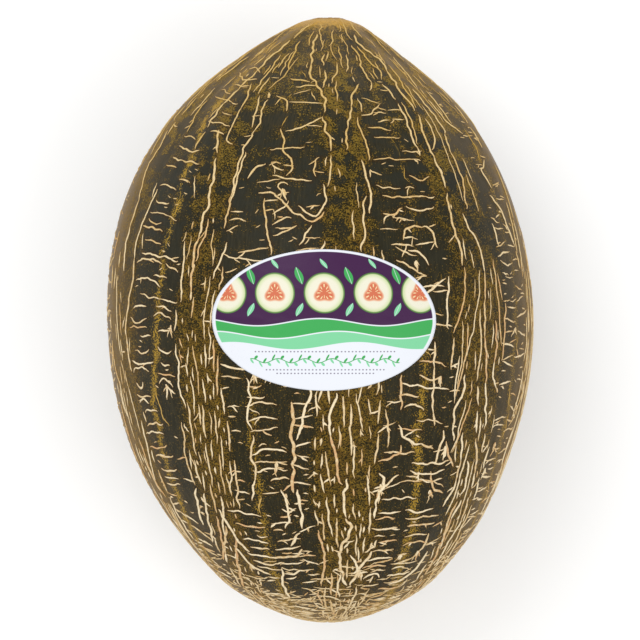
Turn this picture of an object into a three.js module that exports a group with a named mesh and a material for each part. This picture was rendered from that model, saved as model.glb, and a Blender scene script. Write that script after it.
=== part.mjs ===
// A piel de sapo melon lying on its side, with an oval sticker on top.
//
// Millimetres, +Z up. The stem end points along +Y and the blossom end along -Y.
// The origin is on the resting plane, under the middle of the fruit.
//
// A place on the skin is given by two angles in degrees: `turn` goes round the fruit from
// the top towards +X, and `station` goes along it from the stem tip (0) to the blossom tip (180).
import * as THREE from 'three';

// ---- Driving dimensions ----------------------------------------------------------------
const LENGTH = 209.6; // skin to skin, along Y
const WIDTH = 147; // greatest skin diameter
const REST_DEPTH = 2.2; // how far the underside is flattened where the fruit lies

const RIB_COUNT = 10;
const RIB_DEPTH = 1.5; // depth of the furrows between the ribs, where they are deepest
const RIB_TURN = 2.5; // turn of the first rib

const NET_HEIGHT = 0.9; // how far a full crack stands out of the skin
const NET_HALF_WIDTH = 1.25; // from a crack's foot to its crest
const NET_SHARE = 0.26; // most of the room between two long cracks that one foot may take
const NET_WANDER = 0.2; // how far a long crack wanders, as a share of its room
const BREAK_LEVEL = -0.5; // a long crack is interrupted where its strength wave is below this
const RUNG_ROWS = 18; // rows of cross cracks from end to end
const RUNG_STATIONS = [14, 171]; // stations of the first and last rows
const RUNG_CROWDING = 0.24; // how much closer the rows stand towards the blossom end
const RUNG_SCATTER = 0.24; // how far a rung strays from its row, as a share of the row spacing
const RUNG_SHARE = 0.84; // share of the rungs present in the dark bands
const SPUR_SHARE = 0.3; // share of the rungs that run on across the speckled bands

const STEM_SCAR = { radius: 5.2, floorRadius: 4.1, depth: 0.8, colour: 0.6 };
const BLOSSOM_SCAR = { radius: 5.4, floorRadius: 3.9, depth: -0.5, colour: 0.8 };
const SCAR_INSET = 0.55; // from the ellipse's tip down to a scar's rim

const LABEL = { turn: 1.2, across: 77.2, along: 46.8, gap: 0.3, thickness: 0.5 };
const LABEL_RINGS = 6;
const LABEL_SECTORS = 36;

const RIND_COLOUR = new THREE.Color(0x4a4226);
const NET_COLOUR = new THREE.Color(0xdcc79a);
const LABEL_COLOUR = new THREE.Color(0xf4f6fa);

const SEED = 7;

// The outline's fullness against a plain ellipse: [station, share of the ellipse's radius].
const FULLNESS = [
  [0, 0.64], [15, 0.655], [28, 0.752], [42, 0.905], [52, 0.965], [72, 1], [104, 0.997],
  [127, 0.972], [142, 0.951], [152, 0.95], [160, 0.885], [167, 0.78], [180, 0.6],
];
// The centre line's sway towards +X: [station, millimetres].
const SWAY = [
  [0, 2.7], [13, 2.3], [24, 0.9], [32, 0], [66, -0.9], [95, -0.1], [118, 0.3], [137, 2], [180, 2.4],
];
// The dark bands that run from end to end: [turn of the middle, half width in degrees].
const DARK_BANDS = [
  [-153, 10], [-118, 9], [-83, 9], [-48.5, 9], [-13.5, 12],
  [26.5, 10], [64.5, 8], [99, 9], [134, 9], [171, 10],
];

// ---- Small helpers -----------------------------------------------------------------------
const { smoothstep, clamp, degToRad: radians, radToDeg: degrees } = THREE.MathUtils;

// A repeatable stream of numbers from 0 to 1.
function seededStream(seed) {
  let state = seed >>> 0;
  return () => {
    state = (state + 0x6d2b79f5) >>> 0;
    let mixed = Math.imul(state ^ (state >>> 15), 1 | state);
    mixed = (mixed + Math.imul(mixed ^ (mixed >>> 7), 61 | mixed)) ^ mixed;
    return ((mixed ^ (mixed >>> 14)) >>> 0) / 4294967296;
  };
}

const draw = seededStream(SEED);

// A smooth curve through [place, value] pairs, with flat ends.
function curveThrough(pairs) {
  const slopes = pairs.map((pair, i) => {
    if (i === 0 || i === pairs.length - 1) return 0;
    return (pairs[i + 1][1] - pairs[i - 1][1]) / (pairs[i + 1][0] - pairs[i - 1][0]);
  });
  return (place) => {
    const last = pairs.findIndex((pair) => pair[0] >= place);
    const i = clamp(last === -1 ? pairs.length - 2 : last - 1, 0, pairs.length - 2);
    const step = pairs[i + 1][0] - pairs[i][0];
    const t = clamp((place - pairs[i][0]) / step, 0, 1);
    const rise = t * t * (3 - 2 * t);
    return pairs[i][1] * (1 - rise) + pairs[i + 1][1] * rise
      + step * t * (1 - t) * ((1 - t) * slopes[i] - t * slopes[i + 1]);
  };
}

// A slow wave from -1 to 1 along a line, different for each call.
const WAVE_WEIGHTS = [0.55, 0.3, 0.15];
const WAVE_SHARES = [1, 0.47, 0.23];
function seededWave(length) {
  const parts = WAVE_SHARES.map((share) => ({ rate: 360 / (length * share), phase: 360 * draw() }));
  return (place) => parts.reduce((sum, part, i) => (
    sum + WAVE_WEIGHTS[i] * Math.sin(radians(part.rate * place + part.phase))), 0);
}

// ---- The skin --------------------------------------------------------------------------
const fullnessAt = curveThrough(FULLNESS);
const swayAt = curveThrough(SWAY);
const axisHeight = WIDTH / 2 - REST_DEPTH;

// Depth of the furrows: deepest on the stem end's shoulder and nearly gone at the blossom end.
function ribLift(turn, station) {
  const shoulder = 0.25 + 0.75 * Math.exp(-(((station - 38) / 24) ** 2));
  const fade = smoothstep(station, 8, 24) * (1 - smoothstep(station, 150, 172));
  return -RIB_DEPTH * shoulder * fade * (0.5 - 0.5 * Math.cos(radians(RIB_COUNT * (turn - RIB_TURN))));
}

// How far along +Y a station lies from the middle of the fruit's length.
function axisPlace(station) {
  return (LENGTH / 2) * Math.cos(radians(station));
}

function radiusAt(turn, station) {
  return (WIDTH / 2) * Math.sin(radians(station)) * fullnessAt(station) + ribLift(turn, station);
}

// The point of the skin at a turn and station, moved out along the skin's normal by `lift`.
function skinPoint(turn, station, lift = 0) {
  const nudge = 0.5;
  const alongRadius = radiusAt(turn, station + nudge) - radiusAt(turn, station - nudge);
  const alongAxis = axisPlace(station + nudge) - axisPlace(station - nudge);
  const slope = Math.hypot(alongRadius, alongAxis);
  const radius = radiusAt(turn, station) - lift * (alongAxis / slope);
  return new THREE.Vector3(
    swayAt(station) + radius * Math.sin(radians(turn)),
    axisPlace(station) + lift * (alongRadius / slope),
    axisHeight + radius * Math.cos(radians(turn)),
  );
}

// How far a place lies from the sticker's middle: 1 on its edge, measured along the skin.
function labelReach(turn, station) {
  const across = radians(turn - LABEL.turn) * (WIDTH / 2);
  const along = radians(station - 90) * (LENGTH / 2);
  return Math.hypot(across / (LABEL.across / 2), along / (LABEL.along / 2));
}

// ---- Long cracks and the columns of vertices that carry them -------------------------------
// Each dark band is edged by two long cracks and has one plain column in its middle. A speckled
// band between two dark ones has a weaker long crack of its own, unless it is narrow.
// A crack takes three columns: foot, crest and foot.
function layColumns() {
  const groups = [];
  DARK_BANDS.forEach(([middle, half], band) => {
    const next = DARK_BANDS[(band + 1) % DARK_BANDS.length];
    const nextEdge = next[0] - next[1] + (band === DARK_BANDS.length - 1 ? 360 : 0);
    const gap = nextEdge - (middle + half);
    groups.push({ turn: middle - half, crack: 0.85 + 0.15 * draw(), ladderSide: 1 });
    groups.push({ turn: middle, crack: 0, ladderSide: 0 });
    groups.push({ turn: middle + half, crack: 0.85 + 0.15 * draw(), ladderSide: -1 });
    if (gap > 10) groups.push({ turn: middle + half + gap / 2, crack: 0.7, speckled: true });
  });
  groups.forEach((group) => {
    group.wander = seededWave(95);
    group.strength = seededWave(38);
  });
  return groups.flatMap((group, i) => {
    const before = groups[(i + groups.length - 1) % groups.length];
    const after = groups[(i + 1) % groups.length];
    group.room = Math.min(
      (group.turn - before.turn + 360) % 360, (after.turn - group.turn + 360) % 360);
    const sides = group.crack > 0 ? [-1, 0, 1] : [0];
    return sides.map((side) => ({ group, index: i, side }));
  });
}

// Where a long crack wanders to at a station, in degrees of turn.
function crackTurn(group, station) {
  return group.turn + NET_WANDER * group.room * group.wander(station);
}

// How much of a long crack's height stands at a station: it starts below the stem tip, thins,
// breaks off here and there, and is whole again in the dense net of the blossom end.
function crackStrength(group, station) {
  if (group.crack === 0) return 0;
  const wave = group.strength(station) + 0.9 * smoothstep(station, 135, 165);
  const standing = smoothstep(wave, BREAK_LEVEL, BREAK_LEVEL + 0.35);
  return group.crack * standing * smoothstep(station, 5, 17);
}

// ---- Cross cracks and the rows of vertices that carry them ---------------------------------
// A row takes three lines of vertices: foot, crest and foot. Its rungs stand between the edges
// of the dark bands, and only some of them run on across the speckled bands.
function layRows(groupCount) {
  const [first, last] = RUNG_STATIONS;
  const rows = [];
  for (let i = 0; i < RUNG_ROWS; i += 1) {
    const t = i / (RUNG_ROWS - 1);
    const spacing = ((last - first) / (RUNG_ROWS - 1)) * (1 + RUNG_CROWDING * (1 - 2 * t));
    const station = first + (last - first) * (t + RUNG_CROWDING * (t - t * t));
    const scatter = Array.from({ length: groupCount }, () => RUNG_SCATTER * spacing * (2 * draw() - 1));
    const chance = Array.from({ length: groupCount }, () => draw());
    [-1, 0, 1].forEach((side) => rows.push({ station, scatter, chance, side }));
  }
  return rows;
}

// How much of a rung's height stands where a row crosses a column.
function rungStrength(row, column) {
  const { group, index, side } = column;
  const dense = smoothstep(row.station, 138, 160);
  const start = smoothstep(row.station, 12, 40);
  const share = (group.speckled ? SPUR_SHARE : RUNG_SHARE * (0.45 + 0.55 * start)) * (1 - dense) + dense;
  const outside = !group.speckled && group.ladderSide !== 0 && side === -group.ladderSide;
  if (row.chance[index] > (outside ? SPUR_SHARE * (1 - dense) + dense : share)) return 0;
  return 0.55 + 0.4 * Math.abs(Math.sin(40 * row.chance[index]));
}

// ---- The fruit: one closed skin ------------------------------------------------------------
// A ring is a row of vertices round the fruit: each has its point and its share of the net's colour.
function buildMelon() {
  const columns = layColumns();
  const groupCount = columns.at(-1).index + 1;
  const rings = layRows(groupCount).map((row) => columns.map((column) => netVertex(row, column)));
  rings.unshift(
    scarRing(columns, STEM_SCAR, 1, STEM_SCAR.floorRadius, STEM_SCAR.depth),
    scarRing(columns, STEM_SCAR, 1, STEM_SCAR.radius, 0));
  rings.push(
    scarRing(columns, BLOSSOM_SCAR, -1, BLOSSOM_SCAR.radius, 0),
    scarRing(columns, BLOSSOM_SCAR, -1, BLOSSOM_SCAR.floorRadius, BLOSSOM_SCAR.depth));

  // The underside is pressed flat where the fruit rests.
  rings.flat().forEach(({ point }) => {
    point.z = Math.max(point.z, 0);
  });
  return closedSkin(rings);
}

// The vertex where a row crosses a column, raised where a crack stands there. The skin is bare
// under the sticker.
function netVertex(row, column) {
  const { group, index, side } = column;
  const footStation = degrees(NET_HALF_WIDTH / (0.46 * LENGTH));
  const station = row.station + row.scatter[index] + row.side * footStation;
  const footTurn = Math.min(
    degrees(NET_HALF_WIDTH / radiusAt(group.turn, station)), NET_SHARE * group.room);
  const turn = crackTurn(group, station) + side * footTurn;
  const long = side === 0 ? crackStrength(group, station) : 0;
  const cross = row.side === 0 ? rungStrength(row, column) : 0;
  const net = smoothstep(labelReach(turn, station), 1.06, 1.4) * Math.max(long, cross);
  return { point: skinPoint(turn, station, NET_HEIGHT * net), net };
}

// A ring of an end's scar, at a radius from the fruit's axis and a depth below its rim.
function scarRing(columns, scar, end, radius, depth) {
  const pole = end > 0 ? 0 : 180;
  return columns.map(({ group, side }) => {
    const turn = radians(group.turn + side * NET_SHARE * group.room);
    const point = new THREE.Vector3(
      swayAt(pole) + radius * Math.sin(turn),
      end * (LENGTH / 2 - SCAR_INSET - depth),
      axisHeight + radius * Math.cos(turn));
    return { point, net: scar.colour };
  });
}

// A closed body from rings of vertices that run from the +Y end to the -Y end.
function closedSkin(rings) {
  const width = rings[0].length;
  const middle = (ring) => ({
    point: ring.reduce((sum, { point }) => sum.add(point), new THREE.Vector3()).divideScalar(width),
    net: ring[0].net,
  });
  const vertices = [...rings.flat(), middle(rings[0]), middle(rings.at(-1))];
  const faces = [];
  const at = (ring, column) => ring * width + (column % width);
  for (let column = 0; column < width; column += 1) {
    faces.push(at(0, column), at(0, column + 1), rings.length * width);
    for (let ring = 0; ring < rings.length - 1; ring += 1) {
      faces.push(at(ring, column), at(ring + 1, column), at(ring + 1, column + 1));
      faces.push(at(ring, column), at(ring + 1, column + 1), at(ring, column + 1));
    }
    faces.push(at(rings.length - 1, column + 1), at(rings.length - 1, column), rings.length * width + 1);
  }
  const geometry = new THREE.BufferGeometry().setFromPoints(vertices.map(({ point }) => point));
  geometry.setIndex(faces);
  geometry.computeVertexNormals();
  const tints = vertices.flatMap(({ net }) => netTint(net));
  geometry.setAttribute('color', new THREE.Float32BufferAttribute(tints, 3));
  return geometry;
}

// A vertex colour multiplies the rind's own, so the net's is held as its ratio to the rind's.
function netTint(net) {
  const mixed = RIND_COLOUR.clone().lerp(NET_COLOUR, net);
  return [mixed.r / RIND_COLOUR.r, mixed.g / RIND_COLOUR.g, mixed.b / RIND_COLOUR.b];
}

// ---- The sticker: an oval sheet that follows the skin ----------------------------------------
function buildLabel() {
  const sheetPoint = (ring, sector, lift) => {
    const angle = (2 * Math.PI * sector) / LABEL_SECTORS;
    const reach = ring / LABEL_RINGS;
    const turn = LABEL.turn + degrees((reach * LABEL.across * Math.cos(angle)) / WIDTH);
    const station = 90 - degrees((reach * LABEL.along * Math.sin(angle)) / LENGTH);
    return skinPoint(turn, station, lift);
  };
  const vertices = [];
  const faces = [];
  const lifts = [LABEL.gap + LABEL.thickness, LABEL.gap];
  lifts.forEach((lift) => {
    vertices.push(sheetPoint(0, 0, lift));
    for (let ring = 1; ring <= LABEL_RINGS; ring += 1) {
      for (let sector = 0; sector < LABEL_SECTORS; sector += 1) {
        vertices.push(sheetPoint(ring, sector, lift));
      }
    }
  });
  const sheetSize = 1 + LABEL_RINGS * LABEL_SECTORS;
  const at = (sheet, ring, sector) => sheet * sheetSize
    + (ring === 0 ? 0 : 1 + (ring - 1) * LABEL_SECTORS + (sector % LABEL_SECTORS));
  const addFace = (sheet, a, b, c) => faces.push(...(sheet === 0 ? [a, b, c] : [a, c, b]));
  for (let sector = 0; sector < LABEL_SECTORS; sector += 1) {
    for (let sheet = 0; sheet < 2; sheet += 1) {
      addFace(sheet, at(sheet, 0, 0), at(sheet, 1, sector), at(sheet, 1, sector + 1));
      for (let ring = 1; ring < LABEL_RINGS; ring += 1) {
        const [a, b] = [at(sheet, ring, sector), at(sheet, ring + 1, sector)];
        const [c, d] = [at(sheet, ring + 1, sector + 1), at(sheet, ring, sector + 1)];
        addFace(sheet, a, b, c);
        addFace(sheet, a, c, d);
      }
    }
    const [topA, topB] = [at(0, LABEL_RINGS, sector), at(0, LABEL_RINGS, sector + 1)];
    const [lowA, lowB] = [at(1, LABEL_RINGS, sector), at(1, LABEL_RINGS, sector + 1)];
    faces.push(topA, lowA, lowB, topA, lowB, topB);
  }
  const geometry = new THREE.BufferGeometry().setFromPoints(vertices);
  geometry.setIndex(faces);
  geometry.computeVertexNormals();
  return geometry;
}

// ---- Assembly --------------------------------------------------------------------------
const melon = new THREE.Mesh(
  buildMelon(),
  new THREE.MeshStandardMaterial({
    color: RIND_COLOUR, vertexColors: true, roughness: 0.5, metalness: 0,
  }));
melon.name = 'melon';

const label = new THREE.Mesh(
  buildLabel(),
  new THREE.MeshStandardMaterial({ color: LABEL_COLOUR, roughness: 0.4, metalness: 0 }));
label.name = 'label';

// The fruit is set so that the origin lies under the middle of its box.
const fruit = new THREE.Group();
fruit.add(melon, label);
const middle = new THREE.Box3().setFromObject(fruit).getCenter(new THREE.Vector3());
fruit.position.set(-middle.x, -middle.y, 0);

const part = new THREE.Group();
part.add(fruit);
export default part;
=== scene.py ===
import logging
import math
from dataclasses import dataclass, field, fields
from enum import Enum
from typing import Any, Sequence

import bpy
import numpy as np
from bpy.types import Material, Node, NodeSocket, NodeTree, Object
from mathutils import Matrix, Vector


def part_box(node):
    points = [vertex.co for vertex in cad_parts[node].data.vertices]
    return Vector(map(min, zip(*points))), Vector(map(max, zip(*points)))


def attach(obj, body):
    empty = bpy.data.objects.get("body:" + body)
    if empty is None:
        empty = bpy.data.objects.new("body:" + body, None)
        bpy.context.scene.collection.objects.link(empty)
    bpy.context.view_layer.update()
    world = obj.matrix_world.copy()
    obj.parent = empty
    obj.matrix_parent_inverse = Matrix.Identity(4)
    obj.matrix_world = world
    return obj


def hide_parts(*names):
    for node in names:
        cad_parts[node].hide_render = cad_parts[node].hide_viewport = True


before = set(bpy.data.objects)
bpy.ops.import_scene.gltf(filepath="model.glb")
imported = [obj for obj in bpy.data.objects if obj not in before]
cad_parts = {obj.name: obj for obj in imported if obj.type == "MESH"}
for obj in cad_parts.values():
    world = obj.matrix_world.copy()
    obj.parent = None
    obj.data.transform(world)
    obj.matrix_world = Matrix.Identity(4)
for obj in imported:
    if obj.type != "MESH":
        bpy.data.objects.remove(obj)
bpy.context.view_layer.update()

LOG = logging.getLogger("melon")
MM = 0.001  # the fruit is worked out in millimetres, and its meshes are in metres
SEED = 20
FAR = 99.0  # degrees, further than any place is from its nearest band or vein
NO_TRIANGLES = np.zeros((0, 3), dtype=int)

Array = np.ndarray
Span = tuple[float, float]
Pairs = tuple[Span, ...]
Route = tuple[float, ...]  # a strong crack's width, and then the turn and distance of each point


def smoothstep(value: Array, low: float, high: float) -> Array:
    """A smooth ramp of the value, from 0 at low to 1 at high: 3t^2 - 2t^3."""
    t = np.clip((value - low) / (high - low), 0.0, 1.0)
    return t * t * (3.0 - 2.0 * t)


def wrapped(turn: Array) -> Array:
    """A turn in degrees, brought to between -180 and 180."""
    return (turn + 180.0) % 360.0 - 180.0


def curve_through(pairs: Pairs, place: Array) -> Array:
    """A smooth curve through (place, value) pairs, with flat ends.

    Between two pairs it is a cubic whose slopes are those of the chords across each pair.

    Args:
        pairs: The pairs, in rising order of place.
        place: Where the curve is read.

    Returns:
        The curve's value at each place.
    """
    knots, values = np.array(pairs, dtype=float).T
    slopes = np.zeros_like(values)
    slopes[1:-1] = (values[2:] - values[:-2]) / (knots[2:] - knots[:-2])
    i = np.clip(np.searchsorted(knots, place) - 1, 0, len(knots) - 2)
    step = knots[i + 1] - knots[i]
    t = np.clip((place - knots[i]) / step, 0.0, 1.0)
    rise = t * t * (3.0 - 2.0 * t)
    bend = step * t * (1.0 - t) * ((1.0 - t) * slopes[i] - t * slopes[i + 1])
    return values[i] * (1.0 - rise) + values[i + 1] * rise + bend


class Waves:
    """Slow seeded waves from about -1 to 1: each is a sum of three sines of falling length."""

    SHARES = np.array([1.0, 0.47, 0.23])
    WEIGHTS = np.array([0.55, 0.3, 0.15])

    def __init__(self, rng: np.random.Generator, count: int, length: float) -> None:
        """Draws `count` waves whose longest sine is `length` long, in the units they are read in."""
        self.rates = 2.0 * np.pi / (length * self.SHARES)
        self.phases = rng.uniform(0.0, 2.0 * np.pi, (count, 3))

    def at(self, index: Array, place: Array) -> Array:
        """The height of wave number `index` at each place."""
        angles = np.asarray(place)[..., None] * self.rates + self.phases[np.asarray(index)]
        return (np.sin(angles) * self.WEIGHTS).sum(axis=-1)


# ---- The fruit's shape ----


@dataclass(frozen=True)
class Skin:
    """The fruit's smooth skin as a formula, in millimetres.

    A place on it has a turn, in degrees round the fruit from the top towards +X, and a station,
    in degrees along it from the stem tip (0, at +Y) to the blossom tip (180, at -Y). The outline
    is an ellipse times a fullness, and the ribs are a cosine round it. They are deepest at
    the station `rib_deepest`, and `rib_least` times as deep far from it.
    """

    length: float = 209.6
    width: float = 147.0
    rest_depth: float = 2.2
    rib_count: int = 10
    rib_depth: float = 1.5
    rib_turn: float = 2.5
    rib_least: float = 0.25
    rib_deepest: float = 38.0
    rib_reach: float = 24.0
    rib_start: Span = (8.0, 24.0)
    rib_end: Span = (150.0, 172.0)
    tip_flattening: float = 0.55
    tip_reach: float = 7.0
    shift: Span = (0.0, 0.0)
    fullness: Pairs = (
        (0, 0.64), (15, 0.655), (28, 0.752), (42, 0.905), (52, 0.965), (72, 1), (104, 0.997),
        (127, 0.972), (142, 0.951), (152, 0.95), (160, 0.885), (167, 0.78), (180, 0.6),
    )
    sway: Pairs = (
        (0, 2.7), (13, 2.3), (24, 0.9), (32, 0), (66, -0.9), (95, -0.1), (118, 0.3),
        (137, 2), (180, 2.4),
    )

    def plain_radius(self, station: Array) -> Array:
        """The radius at a station with no ribs: half the width, times sine, times fullness."""
        return 0.5 * self.width * np.sin(np.radians(station)) * curve_through(self.fullness, station)

    def axis_place(self, station: Array) -> Array:
        """How far along +Y a station lies, with both tips pressed slightly flat.

        It is half the length times the cosine, less a bell of the radius at each tip.

        Args:
            station: Degrees along the fruit.

        Returns:
            Millimetres from its middle.
        """
        radius = self.plain_radius(station)
        flat = self.tip_flattening * np.exp(-((radius / self.tip_reach) ** 2))
        along = np.cos(np.radians(station))
        return 0.5 * self.length * along - flat * np.sign(along)

    def rib_lift(self, turn: Array, station: Array) -> Array:
        """The furrows' depth below the ribs: deepest on the stem end's shoulder.

        It is a cosine of the turn, times a bell about the shoulder, and fades out at each tip.

        Args:
            turn: Degrees round the fruit.
            station: Degrees along it.

        Returns:
            Millimetres along the radius, none of them above 0.
        """
        bell = np.exp(-(((station - self.rib_deepest) / self.rib_reach) ** 2))
        shoulder = self.rib_least + (1.0 - self.rib_least) * bell
        fade = smoothstep(station, *self.rib_start) * (1.0 - smoothstep(station, *self.rib_end))
        wave = 0.5 - 0.5 * np.cos(np.radians(self.rib_count * (turn - self.rib_turn)))
        return -self.rib_depth * shoulder * fade * wave

    def frame_at(self, turn: Array, station: Array) -> tuple[Array, Array]:
        """The skin's points and outward normals, before the underside is pressed flat.

        Args:
            turn: Degrees round the fruit.
            station: Degrees along it.

        Returns:
            Points in millimetres and unit normals, each with a last axis of 3.
        """
        nudge = 0.4
        radius = self.plain_radius(station) + self.rib_lift(turn, station)
        ahead, behind = np.clip(station + nudge, 0, 180), np.clip(station - nudge, 0, 180)
        out = self.plain_radius(ahead) - self.plain_radius(behind)
        along = self.axis_place(ahead) - self.axis_place(behind)
        slope = np.hypot(out, along)
        round_x, round_z = np.sin(np.radians(turn)), np.cos(np.radians(turn))
        points = np.stack([
            curve_through(self.sway, station) + radius * round_x + self.shift[0],
            self.axis_place(station) + self.shift[1],
            0.5 * self.width - self.rest_depth + radius * round_z], axis=-1)
        normals = np.stack([
            -along / slope * round_x, out / slope, -along / slope * round_z], axis=-1)
        return points, normals

    def points(self, turn: Array, station: Array, lift: Array | float = 0.0) -> Array:
        """The skin's points, moved out by a lift, with the underside pressed flat at z = 0.

        Args:
            turn: Degrees round the fruit.
            station: Degrees along it.
            lift: Millimetres along the outward normal.

        Returns:
            Points in millimetres.
        """
        points, normals = self.frame_at(turn, station)
        points = points + np.asarray(lift)[..., None] * normals
        points[..., 2] = np.maximum(points[..., 2], 0.0)
        return points

    def centred_in(self, low: Vector, high: Vector) -> "Skin":
        """The same skin, moved so that its own box has the middle of a given box.

        Args:
            low: The given box's lowest corner, in metres.
            high: Its highest corner.

        Returns:
            The moved skin.
        """
        station = np.linspace(0, 180, 721)
        sway, radius = curve_through(self.sway, station), self.plain_radius(station)
        middle_x = 0.5 * ((sway + radius).max() + (sway - radius).min())
        shift = (0.5 * (low.x + high.x) / MM - middle_x, 0.5 * (low.y + high.y) / MM)
        return Skin(shift=shift)


class SkinMap:
    """A grid over the skin, by turn and by distance along it from the stem tip.

    It turns distances into stations, holds the direction that the bands run in, and remembers
    which cells a crack already fills.
    """

    COLUMNS = 1200
    CELL = 0.4  # millimetres along the skin to a row
    DROOP = 15.0  # how far below the axis the bands meet at the blossom end
    STEM_DROOP = 3.0
    LEAST_RADIUS = 0.8  # stands in for smaller ones at the tips

    def __init__(self, skin: Skin) -> None:
        """Measures the skin and lays the grid.

        Args:
            skin: The skin that the grid covers.
        """
        self.skin = skin
        self.stations = np.linspace(0.0, 180.0, 3601)
        radius, along = skin.plain_radius(self.stations), skin.axis_place(self.stations)
        steps = np.hypot(np.diff(radius), np.diff(along))
        self.arcs = np.concatenate([[0.0], np.cumsum(steps)])
        self.total = float(self.arcs[-1])
        self.rows = int(np.ceil(self.total / self.CELL))
        self.row_arc = (np.arange(self.rows) + 0.5) * self.CELL
        self.row_radius = self.safe_radius(self.row_arc)
        self.column_turn = (np.arange(self.COLUMNS) + 0.5) * 360.0 / self.COLUMNS - 180.0
        self.band_turns = self.band_turn(self.column_turn[None, :], self.row_arc[:, None])
        self.run = self.band_direction()
        self.owner = np.zeros((self.rows, self.COLUMNS), dtype=np.int32)
        self.guard = np.zeros((self.rows, self.COLUMNS), dtype=np.int32)

    def station_at(self, arc: Array) -> Array:
        """The station at a distance along the skin from the stem tip."""
        return np.interp(arc, self.arcs, self.stations)

    def radius_at(self, arc: Array) -> Array:
        """The plain radius at a distance along the skin."""
        return self.skin.plain_radius(self.station_at(arc))

    def safe_radius(self, arc: Array) -> Array:
        """The plain radius, or the least radius where that is more."""
        return np.maximum(self.radius_at(arc), self.LEAST_RADIUS)

    def droop(self, arc: Array) -> Array:
        """How far below the axis the bands' own axis lies: it bends down at both ends."""
        share = arc / self.total
        return self.DROOP * smoothstep(share, 0.6, 0.93) + self.STEM_DROOP * smoothstep(-share, -0.2, -0.05)

    def band_turn(self, turn: Array, arc: Array) -> Array:
        """The turn round the bands' own axis, in degrees, of a place on the skin."""
        radius, angle = self.radius_at(arc), np.radians(turn)
        return np.degrees(np.arctan2(radius * np.sin(angle), radius * np.cos(angle) + self.droop(arc)))

    def skin_turn(self, band_turn: Array, arc: Array) -> Array:
        """The turn round the fruit of a place given by its turn round the bands' axis."""
        share = self.droop(arc) * np.sin(np.radians(band_turn)) / self.safe_radius(arc)
        return band_turn + np.degrees(np.arcsin(np.clip(share, -1.0, 1.0)))

    def band_direction(self) -> Array:
        """The direction in each cell along which the bands run.

        It is square to the way in which the turn round their axis changes fastest.

        Returns:
            A unit vector for each cell, as (round the fruit, along it).
        """
        spin = np.exp(1j * np.radians(self.band_turns))
        round_change = np.imag(np.conj(spin) * (np.roll(spin, -1, 1) - np.roll(spin, 1, 1)))
        round_change /= self.row_radius[:, None] * np.radians(720.0 / self.COLUMNS)
        along_change = np.imag(np.conj(spin) * np.gradient(spin, axis=0)) / self.CELL
        size = np.hypot(round_change, along_change) + 1e-9
        return np.stack([-along_change / size, round_change / size], axis=-1)

    def cells(self, turn: Array, arc: Array) -> tuple[Array, Array]:
        """The row and the column of the cell that each place lies in."""
        row = np.clip((arc / self.CELL).astype(int), 0, self.rows - 1)
        return row, np.floor((turn + 180.0) * self.COLUMNS / 360.0).astype(int) % self.COLUMNS

    def mark(self, grid: Array, turn: Array, arc: Array, number: Array, reach: float) -> None:
        """Writes each place's number into the cells within reach of it.

        Args:
            grid: The owner or the guard grid.
            turn: The places' turns.
            arc: Their distances along the skin.
            number: Their numbers, from 1.
            reach: Millimetres.
        """
        row, column = self.cells(turn, arc)
        pitch = self.row_radius[row] * 2.0 * np.pi / self.COLUMNS
        rows = int(round(reach / self.CELL))
        for across in range(-7, 8):
            near = np.abs(across) * pitch <= reach
            for down in range(-rows, rows + 1):
                at_row = np.clip(row[near] + down, 0, self.rows - 1)
                grid[at_row, (column[near] + across) % self.COLUMNS] = number[near]

    def crack_distance(self, most: float) -> Array:
        """Each cell's distance to the nearest crack, spread from cell to cell.

        Args:
            most: The distance in millimetres past which it isn't worked out.

        Returns:
            A grid of millimetres.
        """
        pitch = (self.row_radius * 2.0 * np.pi / self.COLUMNS)[:, None]
        distance = np.where(self.owner > 0, 0.0, most)
        for _ in range(int(most / self.CELL) + 4):
            for side in (-1, 1):
                distance = np.minimum(distance, np.roll(distance, side, 1) + pitch)
                shifted = np.roll(distance, side, 0) + self.CELL
                shifted[0 if side == 1 else -1] = most
                distance = np.minimum(distance, shifted)
                slant = np.roll(np.roll(distance, side, 0), side, 1) + np.hypot(pitch, self.CELL)
                distance = np.minimum(distance, slant)
        return distance

    def read(self, grid: Array, turn: Array, arc: Array) -> Array:
        """Reads a grid between its cells, weighted by how near each of four cells lies.

        Args:
            grid: A value for each cell.
            turn: The places' turns.
            arc: Their distances along the skin.

        Returns:
            The value at each place.
        """
        high = np.clip(arc / self.CELL - 0.5, 0, self.rows - 1.001)
        row, down = high.astype(int), high % 1.0
        wide = (turn + 180.0) * self.COLUMNS / 360.0 - 0.5
        column, across = np.floor(wide).astype(int) % self.COLUMNS, wide % 1.0
        beside = (column + 1) % self.COLUMNS
        upper = grid[row, column] * (1 - across) + grid[row, beside] * across
        lower = grid[row + 1, column] * (1 - across) + grid[row + 1, beside] * across
        return upper * (1 - down) + lower * down


# ---- Bands of dark and speckled skin ----


@dataclass(frozen=True)
class DarkBand:
    """One dark band with cross cracks. Spans are (towards the stem end, towards the blossom end).

    Turns and half widths are in degrees. Its vein lies `vein` degrees from its middle, and
    `gilt` is how golden the vein is. `strands` is how many times as long as usual the cracks
    are in the speckled band on its high side, and `share` is how many of them are kept.
    """

    turn: Span
    half: Span
    vein: Span = (0.0, 0.0)
    gilt: Span = (0.6, 0.6)
    strands: float = 1.0
    share: float = 1.0


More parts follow.
